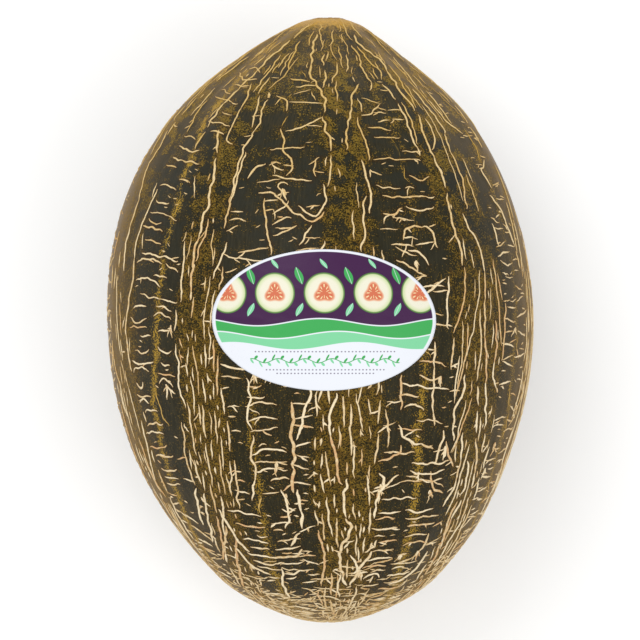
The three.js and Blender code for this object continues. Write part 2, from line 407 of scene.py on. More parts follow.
@dataclass
class Bands:
    """The bands round the fruit, and the golden veins in the dark ones."""

    skin_map: SkinMap
    rng: np.random.Generator
    dark: tuple[DarkBand, ...] = (
        DarkBand((-154, -152), (10, 10)), DarkBand((-119, -119), (9, 10), gilt=(0.9, 0.5)),
        DarkBand((-84, -85), (8.5, 9), strands=1.7, share=0.6),
        DarkBand((-48, -50.5), (9, 8.5), (3.5, -3.5), (1.0, 1.0)),
        DarkBand((-12, -15), (13.5, 12), (0.5, -5), (0.1, 0.7)),
        DarkBand((25, 30), (9, 12.5), (1.5, -1), (0.3, 0.95), 2.6),
        DarkBand((64, 65), (6.5, 7.5), gilt=(0.5, 0.7), strands=1.8), DarkBand((99, 100), (9, 9)),
        DarkBand((134, 135), (9, 10), gilt=(0.4, 0.9)), DarkBand((171, 170), (10, 9)),
    )
    edge_sway: float = 0.1
    vein_sway: float = 1.1
    vein_kink: float = 0.7
    furthest: float = 9.0
    edge_waves: Waves = field(init=False)
    vein_waves: Waves = field(init=False)
    kink_waves: Waves = field(init=False)

    def __post_init__(self) -> None:
        """Draws the waves that the edges and veins wander by."""
        self.edge_waves = Waves(self.rng, 2 * len(self.dark), 44.0)
        self.vein_waves = Waves(self.rng, len(self.dark), 52.0)
        self.kink_waves = Waves(self.rng, len(self.dark), 13.0)

    def blended(self, name: str, index: Array, arc: Array) -> Array:
        """A value of each dark band, blended from its stem end to its blossom end.

        Args:
            name: The value's name.
            index: Which band, for each place.
            arc: The places' distances.

        Returns:
            The value at each place.
        """
        pairs = np.array([getattr(band, name) for band in self.dark])[index]
        share = smoothstep(arc / self.skin_map.total, 0.35, 0.7)
        return pairs[..., 0] + (pairs[..., 1] - pairs[..., 0]) * share

    def edge(self, index: Array, arc: Array, side: int) -> Array:
        """The band turn of a dark band's edge, on its low (-1) or high (1) side."""
        half = 1.0 + self.edge_sway * self.edge_waves.at(2 * np.asarray(index) + (side > 0), arc)
        return self.blended("turn", index, arc) + side * self.blended("half", index, arc) * half

    def vein(self, index: Array, arc: Array) -> Array:
        """The band turn of a dark band's golden vein: it meanders with small kinks."""
        slow, quick = self.vein_waves.at(index, arc), self.kink_waves.at(index, arc)
        return (self.blended("turn", index, arc) + self.blended("vein", index, arc)
                + self.vein_sway * slow + self.vein_kink * quick)

    def margins(self, band_turn: Array, arc: Array) -> tuple[Array, Array, Array]:
        """How deep each place lies in a dark band, and where its nearest vein is.

        Args:
            band_turn: The places' turns round the bands' axis.
            arc: Their distances.

        Returns:
            Millimetres inside the nearest dark band, below 0 outside them all. Millimetres from
            the nearest vein, whose sign flips from one vein to the next so that it has no jump.
            The number of that vein's band.
        """
        scale = np.radians(1.0) * np.maximum(self.skin_map.radius_at(arc), 3.0)
        inside = np.full(np.broadcast(band_turn, arc).shape, -FAR)
        from_vein = np.full(inside.shape, FAR)
        nearest = np.zeros(inside.shape, dtype=int)
        for index in range(len(self.dark)):
            at = np.full(inside.shape, index)
            off_low = wrapped(band_turn - self.edge(at, arc, -1))
            off_high = wrapped(self.edge(at, arc, 1) - band_turn)
            inside = np.maximum(inside, np.minimum(off_low, off_high))
            off = wrapped(band_turn - self.vein(at, arc)) * (1 - 2 * (index % 2))
            nearer = np.abs(off) < np.abs(from_vein)
            from_vein, nearest = np.where(nearer, off, from_vein), np.where(nearer, index, nearest)
        from_vein = np.clip(from_vein * scale, -self.furthest, self.furthest)
        return inside * scale, from_vein, nearest


# ---- The net of cracks ----


class Seeding(Enum):
    """Where a family of cracks starts."""

    EDGES = "along the dark bands' edges"
    VEINS = "along the golden veins"
    VEIN_RUNGS = "out from the veins"
    EDGE_RUNGS = "in from the dark bands' edges"
    COLUMNS = "in columns in the speckled bands"
    RAYS = "down from the stem tip"
    STARS = "out from a star's middle"
    FORKS = "on other cracks"
    GRAINS = "in the dark bands"
    BLOSSOM = "round the blossom tip"


@dataclass(frozen=True)
class Ladder:
    """Rungs one after another between two turns, from one distance to another.

    They slope by slope millimetres a degree, and share of them go the whole way.
    """

    low: float
    high: float
    first: float
    last: float
    pitch: float
    slope: float
    share: float
    width: Span = (0.46, 0.76)


@dataclass(frozen=True)
class Family:
    """A family of cracks that grow alike. Lengths and widths are (least, most) in millimetres.

    A heading is in degrees from the bands' direction. `kink` is its quick jitter at each step,
    and `bend` is how much it may turn over a millimetre. `ring` is how far apart the rings of
    scattered seeds are, as a share of the least and most lengths together.
    """

    seeding: Seeding
    pitch: float
    length: Span
    width: Span
    heading: float = 0.0
    spread: float = 5.0
    kink: float = 11.0
    bend: float = 0.7
    share: float = 1.0
    keeps_clear: bool = True
    stays_dark: bool = False
    gold: float = 0.0
    height: float = 0.34
    ring: float = 0.31


@dataclass
class Cracks:
    """Cracks as padded arrays: one row to a crack, one column to a point."""

    turn: Array
    arc: Array
    count: Array
    width: Array
    joined: Array
    gold: Array
    height: Array
    start_joined: Array

    @staticmethod
    def together(parts: Sequence["Cracks"]) -> "Cracks":
        """Several sets of cracks as one, with as many columns as the longest has.

        Args:
            parts: The sets.

        Returns:
            All their cracks.
        """
        longest = max(part.turn.shape[1] for part in parts)
        joined = {}
        for name in (item.name for item in fields(Cracks)):
            values = [getattr(part, name) for part in parts]
            if values[0].ndim == 2:
                values = [
                    np.pad(grid, ((0, 0), (0, longest - grid.shape[1])), mode="edge") for grid in values]
            joined[name] = np.concatenate(values)
        return Cracks(**joined)


@dataclass
class Seeds:
    """Where cracks start, gathered part by part."""

    parts: list[tuple[Array, ...]] = field(default_factory=list)

    def add(self, turn: Array, arc: Array, side: Array | float, length: Array, width: Array) -> None:
        """Adds seeds: turns, distances, sides (-1 or 1), lengths and widths."""
        self.parts.append((turn, arc, np.broadcast_to(side, turn.shape), length, width))

    def all(self) -> list[Array]:
        """All the seeds' turns, distances, sides, lengths and widths, each as one array."""
        return [np.concatenate(values) for values in zip(*self.parts)]


@dataclass
class Net:
    """Grows the cork net over the skin: first the strong cracks, then a family at a time.

    Every crack of a family grows at once, a step at a time. It ends at its length, where it
    meets another crack, or at the edge of its band. A span is where a kind of crack is seeded,
    and a rise is where it comes to its full share, both as shares of the skin's length. The
    forks' rise and the rays' fall are in millimetres from the stem tip. `blossom_reach` is
    how far from the blossom tip cracks start that run (along, across) the bands.
    """

    skin_map: SkinMap
    bands: Bands
    rng: np.random.Generator
    step: float = 0.9
    clearance: float = 0.8
    own_reach: float = 0.4
    line_span: Span = (0.12, 0.95)
    rung_span: Span = (0.13, 0.95)
    rung_rise: Span = (0.16, 0.32)
    column_span: Span = (0.16, 0.94)
    column_rise: Span = (0.34, 0.52)
    grain_rise: Span = (0.2, 0.4)
    fork_rise: Span = (20.0, 75.0)
    ray_fall: Span = (28.0, 72.0)
    blossom_reach: Span = (58.0, 74.0)
    girth_radius: float = 73.0
    star_count: int = 46
    star: Span = (-2.0, 250.0)
    stars: Pairs = (
        (18.4, 194.5), (18.0, 196.5), (14.3, 228.5), (15.2, 230.5), (-10.3, 94.0), (-12.0, 198.0),
        (-37.0, 228.0), (-22.0, 55.0), (36.5, 197.0), (26.5, 118.5), (-44.0, 236.0),
    )
    routes: tuple[Route, ...] = (
        (1.0, -29, 24, -34, 33, -34.5, 41, -37, 50, -41.5, 62, -43, 72, -44, 79),
        (0.8, -22, 58, -21.5, 68, -25, 82, -25.5, 99, -26.5, 108),
        (0.7, -23.3, 80, -24, 86, -24.5, 93, -25.6, 100),
        (0.7, -25.5, 112, -25.3, 115, -27.5, 120, -29, 125),
        (0.75, -33, 50, -30.5, 55, -31, 66, -31.8, 76, -28.5, 77.5),
        (1.15, -36.5, 71, -33.8, 80, -32.3, 88, -32.5, 101, -35, 115, -35.6, 132),
        (0.7, -31.3, 104, -32.5, 111, -34.5, 119),
        (0.8, -13.5, 71, -11.3, 76, -11, 81, -8.3, 83, -7.7, 87, -9, 90),
        (0.75, -15.2, 97, -14.8, 104, -13.6, 110, -12.2, 117),
        (1.05, -7, 20, -9, 25, -5, 36, -5.5, 46, -1.5, 49.5, 1.5, 57, 2.6, 62.5, 1, 67, 4.3, 77, 3.2, 81),
        (0.7, -0.3, 82, -1.2, 86, -0.8, 90), (0.8, 1.7, 92, 2.3, 98, 0.5, 103, -2, 103.5, -5.5, 99.5),
        (0.95, 19, 50.5, 15, 54, 12.6, 57.5, 11.8, 65, 10, 70, 9, 80),
        (0.8, 14, 66, 14.6, 73, 16.3, 78, 15.6, 84), (0.85, 13.5, 83, 14.2, 90, 15.3, 94, 14, 103),
        (0.8, 13.2, 96, 12.3, 104, 12.6, 110, 11.2, 116),
        (0.8, 25.5, 27, 26.3, 34, 24.2, 40, 24, 47, 24.6, 51.5, 22, 54),
        (0.9, 30.2, 50, 32, 56, 33, 65, 32.8, 74, 33.6, 82),
        (1.1, 32.5, 20, 31.5, 27, 39.5, 36.5, 36.7, 47, 37, 56, 39.2, 66, 37.6, 72, 38.3, 79, 39.8, 90,
         39.6, 106, 41, 113, 41, 121),
        (0.75, 41.5, 66, 43.2, 71, 42, 75.5, 38.6, 79.5),
        (0.9, 46, 52, 46.2, 60, 49.8, 70, 47.5, 77, 48.4, 90, 46.6, 101),
        (0.85, 44, 102, 46, 108, 49, 113, 49.6, 121, 48.3, 140, 50.5, 160, 56, 184),
        (0.8, 52, 57, 54, 66, 57, 69.5, 61, 72.5), (0.8, 67, 82, 61, 85.5, 63.5, 93),
        (0.95, 60.5, 95, 64.5, 99, 65.5, 105, 68, 112, 70, 121),
        (0.8, -66.5, 70, -65, 77, -67.5, 85, -64, 97, -66, 111, -65, 122),
        (0.75, -55, 93, -57, 100, -60, 112, -58.8, 124, -63, 140, -62, 156),
        (1.3, -8, 165, -7.4, 172, -8.6, 177, -7.7, 181, -8.5, 189, -9.6, 198),
        (1.15, -7.9, 196, -7.8, 206, -9.3, 213, -12, 217, -15, 219),
        (0.9, -13, 196, -12, 204, -13, 209, -15, 212),
        (0.95, -38.3, 204, -37.3, 212, -35.8, 219, -33.5, 222.5),
        (0.95, -9.8, 220, -12, 223, -18, 224, -25.5, 224.5),
        (0.9, 4.3, 162, 2, 171, 2.6, 178, 4.6, 185, 4.4, 190, 6, 195), (0.9, 8, 192, 6.6, 200, 6.7, 207.5),
        (1.2, 6.7, 207.5, 9, 209, 8.8, 215, 5.7, 219, 5.6, 226, 7.4, 233, 10.5, 238),
        (0.8, 21.6, 156, 21.8, 163, 22.6, 168.5), (0.9, 21.8, 173, 24, 178, 28, 180, 34.5, 182),
        (0.75, 23.5, 180, 23.6, 183, 20, 185.5, 16.5, 186),
        (0.85, 31, 145, 31.2, 154, 31, 163, 32, 169, 33.6, 174),
        (0.85, 41.5, 156, 41.7, 162, 39, 169.5, 40, 176, 41.3, 179.5),
        (0.85, 36.8, 175, 36.4, 181, 36, 188), (0.85, 38, 179, 40.2, 184, 43.5, 189),
        (0.9, 34.3, 190, 37, 196, 42.5, 198.5), (1.0, 17.5, 190, 20, 195, 18, 198.5, 17.5, 202, 17, 208),
        (0.8, 24, 190.5, 22, 193, 20, 195.5, 16, 196), (1.2, 18.5, 221, 16.5, 226, 14.5, 231, 12, 238),
        (0.8, 9, 223, 12, 226, 14.5, 231, 20, 231.5), (1.1, -45, 196, -48, 204, -51.5, 211.5),
        (1.1, -38.5, 211, -44, 218, -52, 228), (1.1, -41, 222, -47, 231, -55, 240),
        (0.75, -19.8, 157, -19.2, 164, -21, 170, -19, 177, -20.6, 183, -20.2, 190, -22, 196, -24.3, 201),
        (0.9, -21, 229, -24, 236, -25, 246), (0.85, 53.5, 138, 54, 148, 53.2, 157, 57, 163),
        (1.0, 47, 160, 48.5, 168, 50.5, 178, 54, 187, 57, 197), (1.1, 53, 201, 51, 211, 54, 223, 59.5, 238),
        (0.7, -15, 47.5, -10, 48.5, -4, 49.5), (0.8, -19, 57, -13, 59, -11.5, 64),
        (0.65, -16, 79.5, -10, 79, -4, 78.5), (1.0, -16, 84.5, -19, 86, -21.5, 90.5),
        (0.7, -15, 84.7, -12, 86.5, -10, 87.5), (0.7, -14, 89.8, -8, 90, -1, 91.5),
        (0.65, -8.5, 93, -10.5, 91.8, -12, 93.5, -10.5, 95.5, -8, 95),
        (0.8, -17.5, 96, -13, 95, -10, 99, -6, 103, -1, 106, 2, 102), (0.7, -8, 98, -10, 101, -13, 103),
        (0.7, -13, 106.5, -9, 104.5, -7, 104), (0.7, -12.5, 110.5, -8.5, 108.5, -5.5, 106.5),
        (0.7, -4.8, 114, -3.8, 110, -1.5, 106.5), (0.7, 17, 71, 20, 70.3, 26, 71.8),
        (0.7, 15.5, 66, 19, 65, 21, 63, 25, 60.5), (0.75, 18, 103.5, 22, 102.5, 24, 100),
        (0.85, 23.5, 112, 24.3, 107.5, 31.3, 106.8, 33, 110, 33.6, 114.5),
        (0.75, 24, 115, 27, 115, 29, 117, 30, 120.5), (0.7, 20.5, 118, 24, 120, 26.5, 122.5, 31, 124),
        (0.9, -40, 219, -38.5, 225, -35, 230, -28, 233), (1.0, -42, 198, -44.5, 205, -48, 213, -52, 219),
        (1.0, -37, 216, -41, 223, -46, 231, -50, 235), (0.9, -41, 207, -43, 213, -47.5, 221, -53, 227),
        (0.9, -35, 199, -37, 206, -41, 213, -43, 219), (0.9, 44, 176, 46, 184, 46.5, 196, 44, 204),
        (0.9, 50, 186, 52.5, 196, 50, 206, 51, 214, 55, 222), (0.9, 57, 200, 58.5, 210, 57.5, 219, 61, 230),
        (0.9, 42, 214, 42.5, 220, 38, 226, 30, 228), (0.9, 47, 222, 46.5, 230, 40, 236, 31, 238),
    )
    ladders: tuple[Ladder, ...] = (
        Ladder(-50, -32, 40, 72, 4.0, 0.25, 0.45), Ladder(-55, -40, 73, 100, 3.9, 0.18, 0.5),
        Ladder(-57, -41, 101, 133, 3.6, 0.2, 0.3), Ladder(-60, -51, 134, 196, 3.6, 0.0, 0.8),
        Ladder(-49, -43, 134, 160, 4.6, 0.2, 0.9), Ladder(-20, -11, 160, 199, 4.0, -0.1, 0.7),
        Ladder(-35, -22, 205, 232, 3.6, 0.15, 0.7), Ladder(-21, -10, 205, 236, 3.6, -0.15, 0.7),
        Ladder(18, 34, 75, 101, 4.2, 0.02, 0.2), Ladder(22, 36, 152, 176, 4.2, 0.12, 0.35),
        Ladder(18, 41, 183, 206, 3.8, -0.05, 0.4), Ladder(17, 28, 206, 240, 3.3, -0.1, 0.8),
        Ladder(30, 43, 208, 242, 3.3, -0.08, 0.8),
    )
    families: tuple[Family, ...] = (
        Family(Seeding.VEINS, 0, (6, 20), (0.3, 0.45), kink=20, share=0.8, gold=0.8, height=0.22),
        Family(Seeding.EDGES, 0, (8, 30), (0.5, 0.8), spread=3, share=0.72),
        Family(Seeding.STARS, 0, (1.5, 6), (0.4, 0.75), spread=10, kink=16, keeps_clear=False),
        Family(Seeding.COLUMNS, 2.1, (2.5, 19), (0.36, 0.68), spread=3, kink=8, share=0.92, gold=0.12),
        Family(Seeding.VEIN_RUNGS, 3.8, (0.5, 1.15), (0.4, 0.7), 90, 9, 9, 1.6, 0.9, False, True),
        Family(Seeding.EDGE_RUNGS, 4.4, (0.25, 0.6), (0.38, 0.62), 90, 10, 9, 1.6, 0.7, False, True),
        Family(Seeding.RAYS, 2.6, (6, 24), (0.35, 0.65), spread=3, kink=12, share=0.9, gold=0.3),
        Family(Seeding.BLOSSOM, 2.1, (4, 15), (0.3, 0.56), 88, 12, 12, 2, 0.9, False, gold=0.2, ring=0.15),
        Family(Seeding.BLOSSOM, 2.6, (2, 9), (0.3, 0.54), 10, 18, 14, 2, 0.8, False, gold=0.2, ring=0.25),
        Family(Seeding.FORKS, 0, (1.4, 5), (0.35, 0.65), 55, 18, 12, 2.0, 1.0, False),
        Family(Seeding.COLUMNS, 1.7, (1.2, 5), (0.35, 0.6), spread=8, kink=9, share=0.3),
        Family(Seeding.GRAINS, 3.4, (0.9, 2.6), (0.28, 0.45), 86, 22, share=0.14),
    )

    def grow(self) -> tuple[Cracks, Cracks]:
        """Grows every family.

        Returns:
            The cracks that run along the fruit, and those that run across it.
        """
        grown = [self.strong_cracks()]
        long, cross = [grown[0]], []
        next_number = 1 + len(grown[0].count)
        for family in self.families:
            turn, arc, side, length, width = self.seeds(family, grown).all()
            order = self.rng.permutation(len(turn))
            heading = side * family.heading + self.rng.normal(0.0, family.spread, len(turn))
            starts = [values[order] for values in (turn, arc, heading, length, width)]
            cracks = self.grow_family(family, starts, next_number)
            next_number += len(turn)
            grown.append(cracks)
            (cross if family.heading > 45 else long).append(cracks)
            LOG.info("cracks %s: %d", family.seeding.value, len(cracks.count))
        return Cracks.together(long), Cracks.together(cross)

    def drawn(self, low_high: Span, count: int, lean: float = 1.5) -> Array:
        """Draws from a range, leaning towards its low end."""
        low, high = low_high
        return low + (high - low) * self.rng.uniform(0, 1, count) ** lean

    def kept(self, chance: Array | float, *values: Array) -> list[Array]:
        """What is left of some seeds' values after a draw with a chance for each seed."""
        stays = self.rng.uniform(0, 1, len(values[0])) < chance
        return [value[stays] for value in values]

    @staticmethod
    def risen(place: Array, rise: Span) -> Array:
        """The share of cracks that start at each place: a tenth before a rise, and all past it."""
        return 0.1 + 0.9 * smoothstep(place, *rise)

    @staticmethod
    def smoothed(values: Array, kernel: Array) -> Array:
        """A weighted running mean that keeps the values' length."""
        side = len(kernel) // 2
        return np.convolve(np.pad(values, side, mode="edge"), kernel, mode="valid")

    def strong_cracks(self) -> Cracks:
        """The strong cracks, which follow the routes and the ladders' rungs.

        Returns:
            The cracks, which are marked on the map as well.
        """
        skin_map = self.skin_map
        pieces = [piece for route in (*self.routes, *self.rungs()) for piece in self.along(route)]
        longest = max(len(piece[0]) for piece in pieces)
        pieces = [piece for piece in pieces if len(piece[0]) >= 3]
        turn, arc = (
            np.stack([np.pad(piece[i], (0, longest - len(piece[i])), mode="edge") for piece in pieces])
            for i in (0, 1))
        count = np.array([len(piece[0]) for piece in pieces])
        valid = np.arange(longest)[None, :] < count[:, None]
        number = np.broadcast_to(1 + np.arange(len(pieces))[:, None], turn.shape)[valid]
        for grid, reach in ((skin_map.owner, self.own_reach), (skin_map.guard, self.clearance)):
            skin_map.mark(grid, turn[valid], arc[valid], number, reach)
        width = np.array([piece[2] for piece in pieces]) * self.rng.uniform(0.8, 0.94, len(pieces))
        width = width * (0.76 + 0.27 * smoothstep(arc[:, 0] / skin_map.total, 0.2, 0.6))
        plain, no = np.zeros(len(pieces)), np.zeros(len(pieces), dtype=bool)
        return Cracks(turn, arc, count, width, no, gold=plain, height=plain + 0.4, start_joined=no)

    def along(self, route: Route) -> list[tuple[Array, Array, float]]:
        """A route's crack, with small kinks and a few breaks.

        The points are joined and the way is smoothed. Its kinks are smoothed noise, square to it.

        Args:
            route: The route.

        Returns:
            The turns, the distances and the width of each piece between breaks.
        """
        rng, pieces = self.rng, []
        width, *points = route
        turns, arcs = np.array(points, dtype=float).reshape(-1, 2).T
        radius = np.maximum(self.skin_map.radius_at(arcs), 2.0)
        run = np.hypot(np.radians(np.diff(turns)) * 0.5 * (radius[1:] + radius[:-1]), np.diff(arcs))
        reach = np.concatenate([[0.0], np.cumsum(run)])
        count = max(int(reach[-1] / self.step) + 1, 4)
        place = np.linspace(0.0, reach[-1], count)
        kernel = np.array([1.0, 3.0, 4.0, 3.0, 1.0]) / 12.0
        turn, arc = (self.smoothed(np.interp(place, reach, values), kernel) for values in (turns, arcs))
        scale = np.radians(1.0) * np.maximum(self.skin_map.radius_at(arc), 2.0)
        across, along = np.gradient(turn) * scale, np.gradient(arc)
        size = np.hypot(across, along) + 1e-9
        noise = self.smoothed(rng.normal(0.0, 0.42, count), kernel[1:4] / kernel[1:4].sum())
        turn, arc = turn - noise * along / size / scale, arc + noise * across / size
        first = 0
        while first < count - 3:
            last = min(first + int(rng.uniform(9, 34)), count)
            pieces.append((turn[first:last], arc[first:last], width))
            first = last + (1 if rng.uniform() < 0.3 else -2)
        return pieces

    def rungs(self) -> list[Route]:
        """The ladders' rungs: each is a shallow bow, and some are cut short.

        Returns:
            A route for each rung.
        """
        rng, rungs = self.rng, []
        for ladder in self.ladders:
            arc = ladder.first
            while arc < ladder.last:
                low, high = np.array([ladder.low, ladder.high]) + rng.uniform(-1.4, 1.4, 2)
                cut = rng.uniform(0.3, 0.6) * (high - low) * (rng.uniform() > ladder.share)
                low, high = (low + cut, high) if rng.uniform() < 0.5 else (low, high - cut)
                turns = np.linspace(low, high, 4)
                bow = rng.normal(0.0, 0.9) * np.array([0.0, 1.0, 1.0, 0.0])
                arcs = arc + ladder.slope * (turns - ladder.low) + bow
                rungs.append((rng.uniform(*ladder.width), *np.stack([turns, arcs], axis=-1).ravel()))
                arc += ladder.pitch * rng.uniform(0.7, 1.3)
        return rungs

    def in_ladder(self, turn: Array, arc: Array) -> Array:
        """Whether places lie on a ladder, or within 3 of its ends, where no other rungs start.

        Args:
            turn: The places' turns.
            arc: Their distances.

        Returns:
            True or False for each place.
        """
        inside = np.zeros(turn.shape, dtype=bool)
        for ladder in self.ladders:
            across = (turn > ladder.low - 3.0) & (turn < ladder.high + 3.0)
            inside |= across & (arc > ladder.first - 3.0) & (arc < ladder.last + 3.0)
        return inside

    def chain(self, family: Family, first: float, last: float, stretch: float = 1.0) -> tuple[Array, Array]:
        """Cracks end to end along a line.

        Args:
            family: The family, for their lengths.
            first: The line's start, in millimetres from the stem tip.
            last: Its end.
            stretch: How many times as long as usual they are.

        Returns:
            Where each starts, and its length.
        """
        lengths = self.drawn(family.length, 120) * stretch
        starts = first + np.concatenate([[0.0], np.cumsum(lengths + self.rng.uniform(0.8, 3.6, 120))[:-1]])
        inside = starts < last
        return starts[inside], lengths[inside]

    def seeds(self, family: Family, grown: list[Cracks]) -> Seeds:
        """Where a family's cracks start, how long they may grow and how wide they are.

        Args:
            family: The family.
            grown: The cracks grown so far, which forks start on.

        Returns:
            The seeds.
        """
        if family.seeding is Seeding.FORKS:
            return self.fork_seeds(family, Cracks.together(grown))
        return {
            Seeding.EDGES: self.line_seeds, Seeding.VEINS: self.line_seeds,
            Seeding.VEIN_RUNGS: self.rung_seeds, Seeding.EDGE_RUNGS: self.rung_seeds,
            Seeding.COLUMNS: self.column_seeds, Seeding.STARS: self.star_seeds,
        }.get(family.seeding, self.scattered_seeds)(family)

    def line_seeds(self, family: Family) -> Seeds:
        """Seeds end to end along the veins, or along both edges of each dark band.

        Args:
            family: The family.

        Returns:
            The seeds.
        """
        seeds, (first, last) = Seeds(), np.array(self.line_span) * self.skin_map.total
        for index in range(len(self.bands.dark)):
            for side in ((-1, 1) if family.seeding is Seeding.EDGES else (0,)):
                arc, length = self.kept(family.share, *self.chain(family, first, last))
                at = np.full(len(arc), index)
                turn = self.bands.vein(at, arc) if side == 0 else self.bands.edge(at, arc, side)
                turn = turn + self.rng.uniform(-0.6, 0.6, len(arc))
                seeds.add(self.skin_map.skin_turn(turn, arc), arc, 1.0, length,
                          self.drawn(family.width, len(arc), 1.0))
        return seeds

    def rung_seeds(self, family: Family) -> Seeds:
        """Seeds of rungs, up each side of each vein or in from each edge of a dark band.

        A rung's length is a share of the way between its vein and its edge. A slow wave leaves
        stretches bare, apart from the blossom end.

        Args:
            family: The family.

        Returns:
            The seeds.
        """
        seeds, total, rng = Seeds(), self.skin_map.total, self.rng
        presence = Waves(rng, 2 * len(self.bands.dark), 75.0)
        from_vein = family.seeding is Seeding.VEIN_RUNGS
        for index in range(len(self.bands.dark)):
            for side in (-1, 1):
                spacing = family.pitch * np.linspace(1.12, 0.8, 110) * rng.uniform(0.65, 1.35, 110)
                arc = self.rung_span[0] * total + np.cumsum(spacing)
                arc = arc[arc < self.rung_span[1] * total]
                here = presence.at(np.full(len(arc), 2 * index + (side > 0)), arc)
                bare = here + 0.5 + smoothstep(arc / total, 0.66, 0.78) < 0.0
                chance = np.where(bare, 0.12, family.share * self.risen(arc / total, self.rung_rise))
                arc, = self.kept(chance, arc)
                at = np.full(len(arc), index)
                vein, edge = self.bands.vein(at, arc), self.bands.edge(at, arc, side)
                scale = np.radians(1.0) * self.skin_map.radius_at(arc)
                room = np.abs(edge - vein) * scale
                length = np.maximum(room * rng.uniform(*family.length, len(arc)), 1.8)
                inset = rng.uniform(0.2, 0.9, len(arc)) / scale
                turn = vein + side * inset if from_vein else edge - side * inset
                turn = self.skin_map.skin_turn(turn, arc)
                free = ~self.in_ladder(turn, arc)
                seeds.add(turn[free], arc[free], float(side if from_vein else -side),
                          length[free], self.drawn(family.width, int(free.sum()), 1.1))
        return seeds

    def column_seeds(self, family: Family) -> Seeds:
        """Seeds in columns along the speckled bands, staggered end to end.

        Args:
            family: The family.

        Returns:
            The seeds.
        """
        seeds, total = Seeds(), self.skin_map.total
        for index, band in enumerate(self.bands.dark):
            _, gap = self.between_bands(index, np.array([0.62 * total]))
            columns = np.radians(gap[0]) * self.girth_radius / family.pitch * band.strands ** 0.25
            columns = max(int(columns), 2)
            for column in range(columns):
                first = self.column_span[0] * total + self.rng.uniform(0, 9)
                arc, length = self.chain(family, first, self.column_span[1] * total, band.strands)
                chance = family.share * self.risen(arc / total, self.column_rise) * band.share
                arc, length = self.kept(chance, arc, length)
                low, gap = self.between_bands(index, arc)
                share = (column + 0.5 + self.rng.uniform(-0.28, 0.28, len(arc))) / columns
                seeds.add(self.skin_map.skin_turn(low + gap * share, arc), arc, 1.0, length,
                          self.drawn(family.width, len(arc), 1.0))
        return seeds

    def between_bands(self, index: int, arc: Array) -> tuple[Array, Array]:
        """The speckled band on a dark band's high side.

        Args:
            index: The dark band's number.
            arc: Distances along the skin.

        Returns:
            The band turn of its low side at each distance, and how many degrees wide it is.
        """
        at = np.full(len(arc), index)
        low = self.bands.edge(at, arc, 1)
        high = self.bands.edge((at + 1) % len(self.bands.dark), arc, -1)
        return low, (high - low) % 360.0

    def star_seeds(self, family: Family) -> Seeds:
        """Seeds of stars: a few cracks from one place in a dark band, on all sides.

        Args:
            family: The family.

        Returns:
            The seeds.
        """
        seeds, rng, stars = Seeds(), self.rng, self.star_count
        index = rng.integers(0, len(self.bands.dark), stars)
        arc = self.skin_map.total * (0.3 + 0.58 * rng.uniform(0, 1, stars) ** 0.7)
        side = rng.uniform(-0.8, 0.8, stars)
        edge = np.where(side < 0, self.bands.edge(index, arc, -1), self.bands.edge(index, arc, 1))
        middle = self.bands.blended("turn", index, arc)
        turn = self.skin_map.skin_turn(middle + (edge - middle) * np.abs(side), arc)
        placed = np.array(self.stars)
        turn[:len(placed)], arc[:len(placed)] = placed.T
        for branch in range(5):
            length = self.drawn(family.length, stars)
            seeds.add(turn, arc, (branch - 2) / 90.0 * 72.0, length, self.drawn(family.width, stars))
        return seeds

    def fork_seeds(self, family: Family, base: Cracks) -> Seeds:
        """Seeds on the cracks that are there already.

        Args:
            family: The family.
            base: The cracks that are there.

        Returns:
            The seeds.
        """
        seeds, rng = Seeds(), self.rng
        picked = rng.choice(len(base.count), size=int(0.3 * len(base.count)))
        picked, = self.kept(self.risen(base.arc[picked, 0], self.fork_rise), picked)
        spot = (rng.uniform(0.2, 0.85, len(picked)) * (base.count[picked] - 1)).astype(int)
        side = rng.choice([-1.0, 1.0], len(picked))
        seeds.add(base.turn[picked, spot], base.arc[picked, spot], side,
                  self.drawn(family.length, len(picked)), self.drawn(family.width, len(picked)))
        return seeds

    def scattered_seeds(self, family: Family) -> Seeds:
        """Seeds all over the skin, jittered about rings and thinned by how likely each is.

        Args:
            family: The family.

        Returns:
            The seeds.
        """
        seeds, total, rng = Seeds(), self.skin_map.total, self.rng
        spacing = max(family.ring * sum(family.length), 1.7)
        arcs = np.arange(3.0, total - 2.0, spacing)
        counts = np.maximum((2 * np.pi * self.skin_map.radius_at(arcs) / family.pitch).astype(int), 3)
        arc = np.repeat(arcs, counts) + rng.uniform(-0.5, 0.5, counts.sum()) * spacing
        arc = np.clip(arc, 2.0, total - 2.0)
        order = np.concatenate([np.arange(count) / count for count in counts])
        turn = 360.0 * order + np.repeat(rng.uniform(0, 360, len(arcs)), counts)
        turn = (turn + rng.uniform(-0.3, 0.3, len(arc)) * 360.0 / np.repeat(counts, counts)) % 360.0
        turn = turn - 180.0
        turn, arc = self.kept(family.share * self.scatter_chance(family, turn, arc), turn, arc)
        seeds.add(turn, arc, rng.choice([-1.0, 1.0], len(arc)),
                  self.drawn(family.length, len(arc)), self.drawn(family.width, len(arc)))
        return seeds

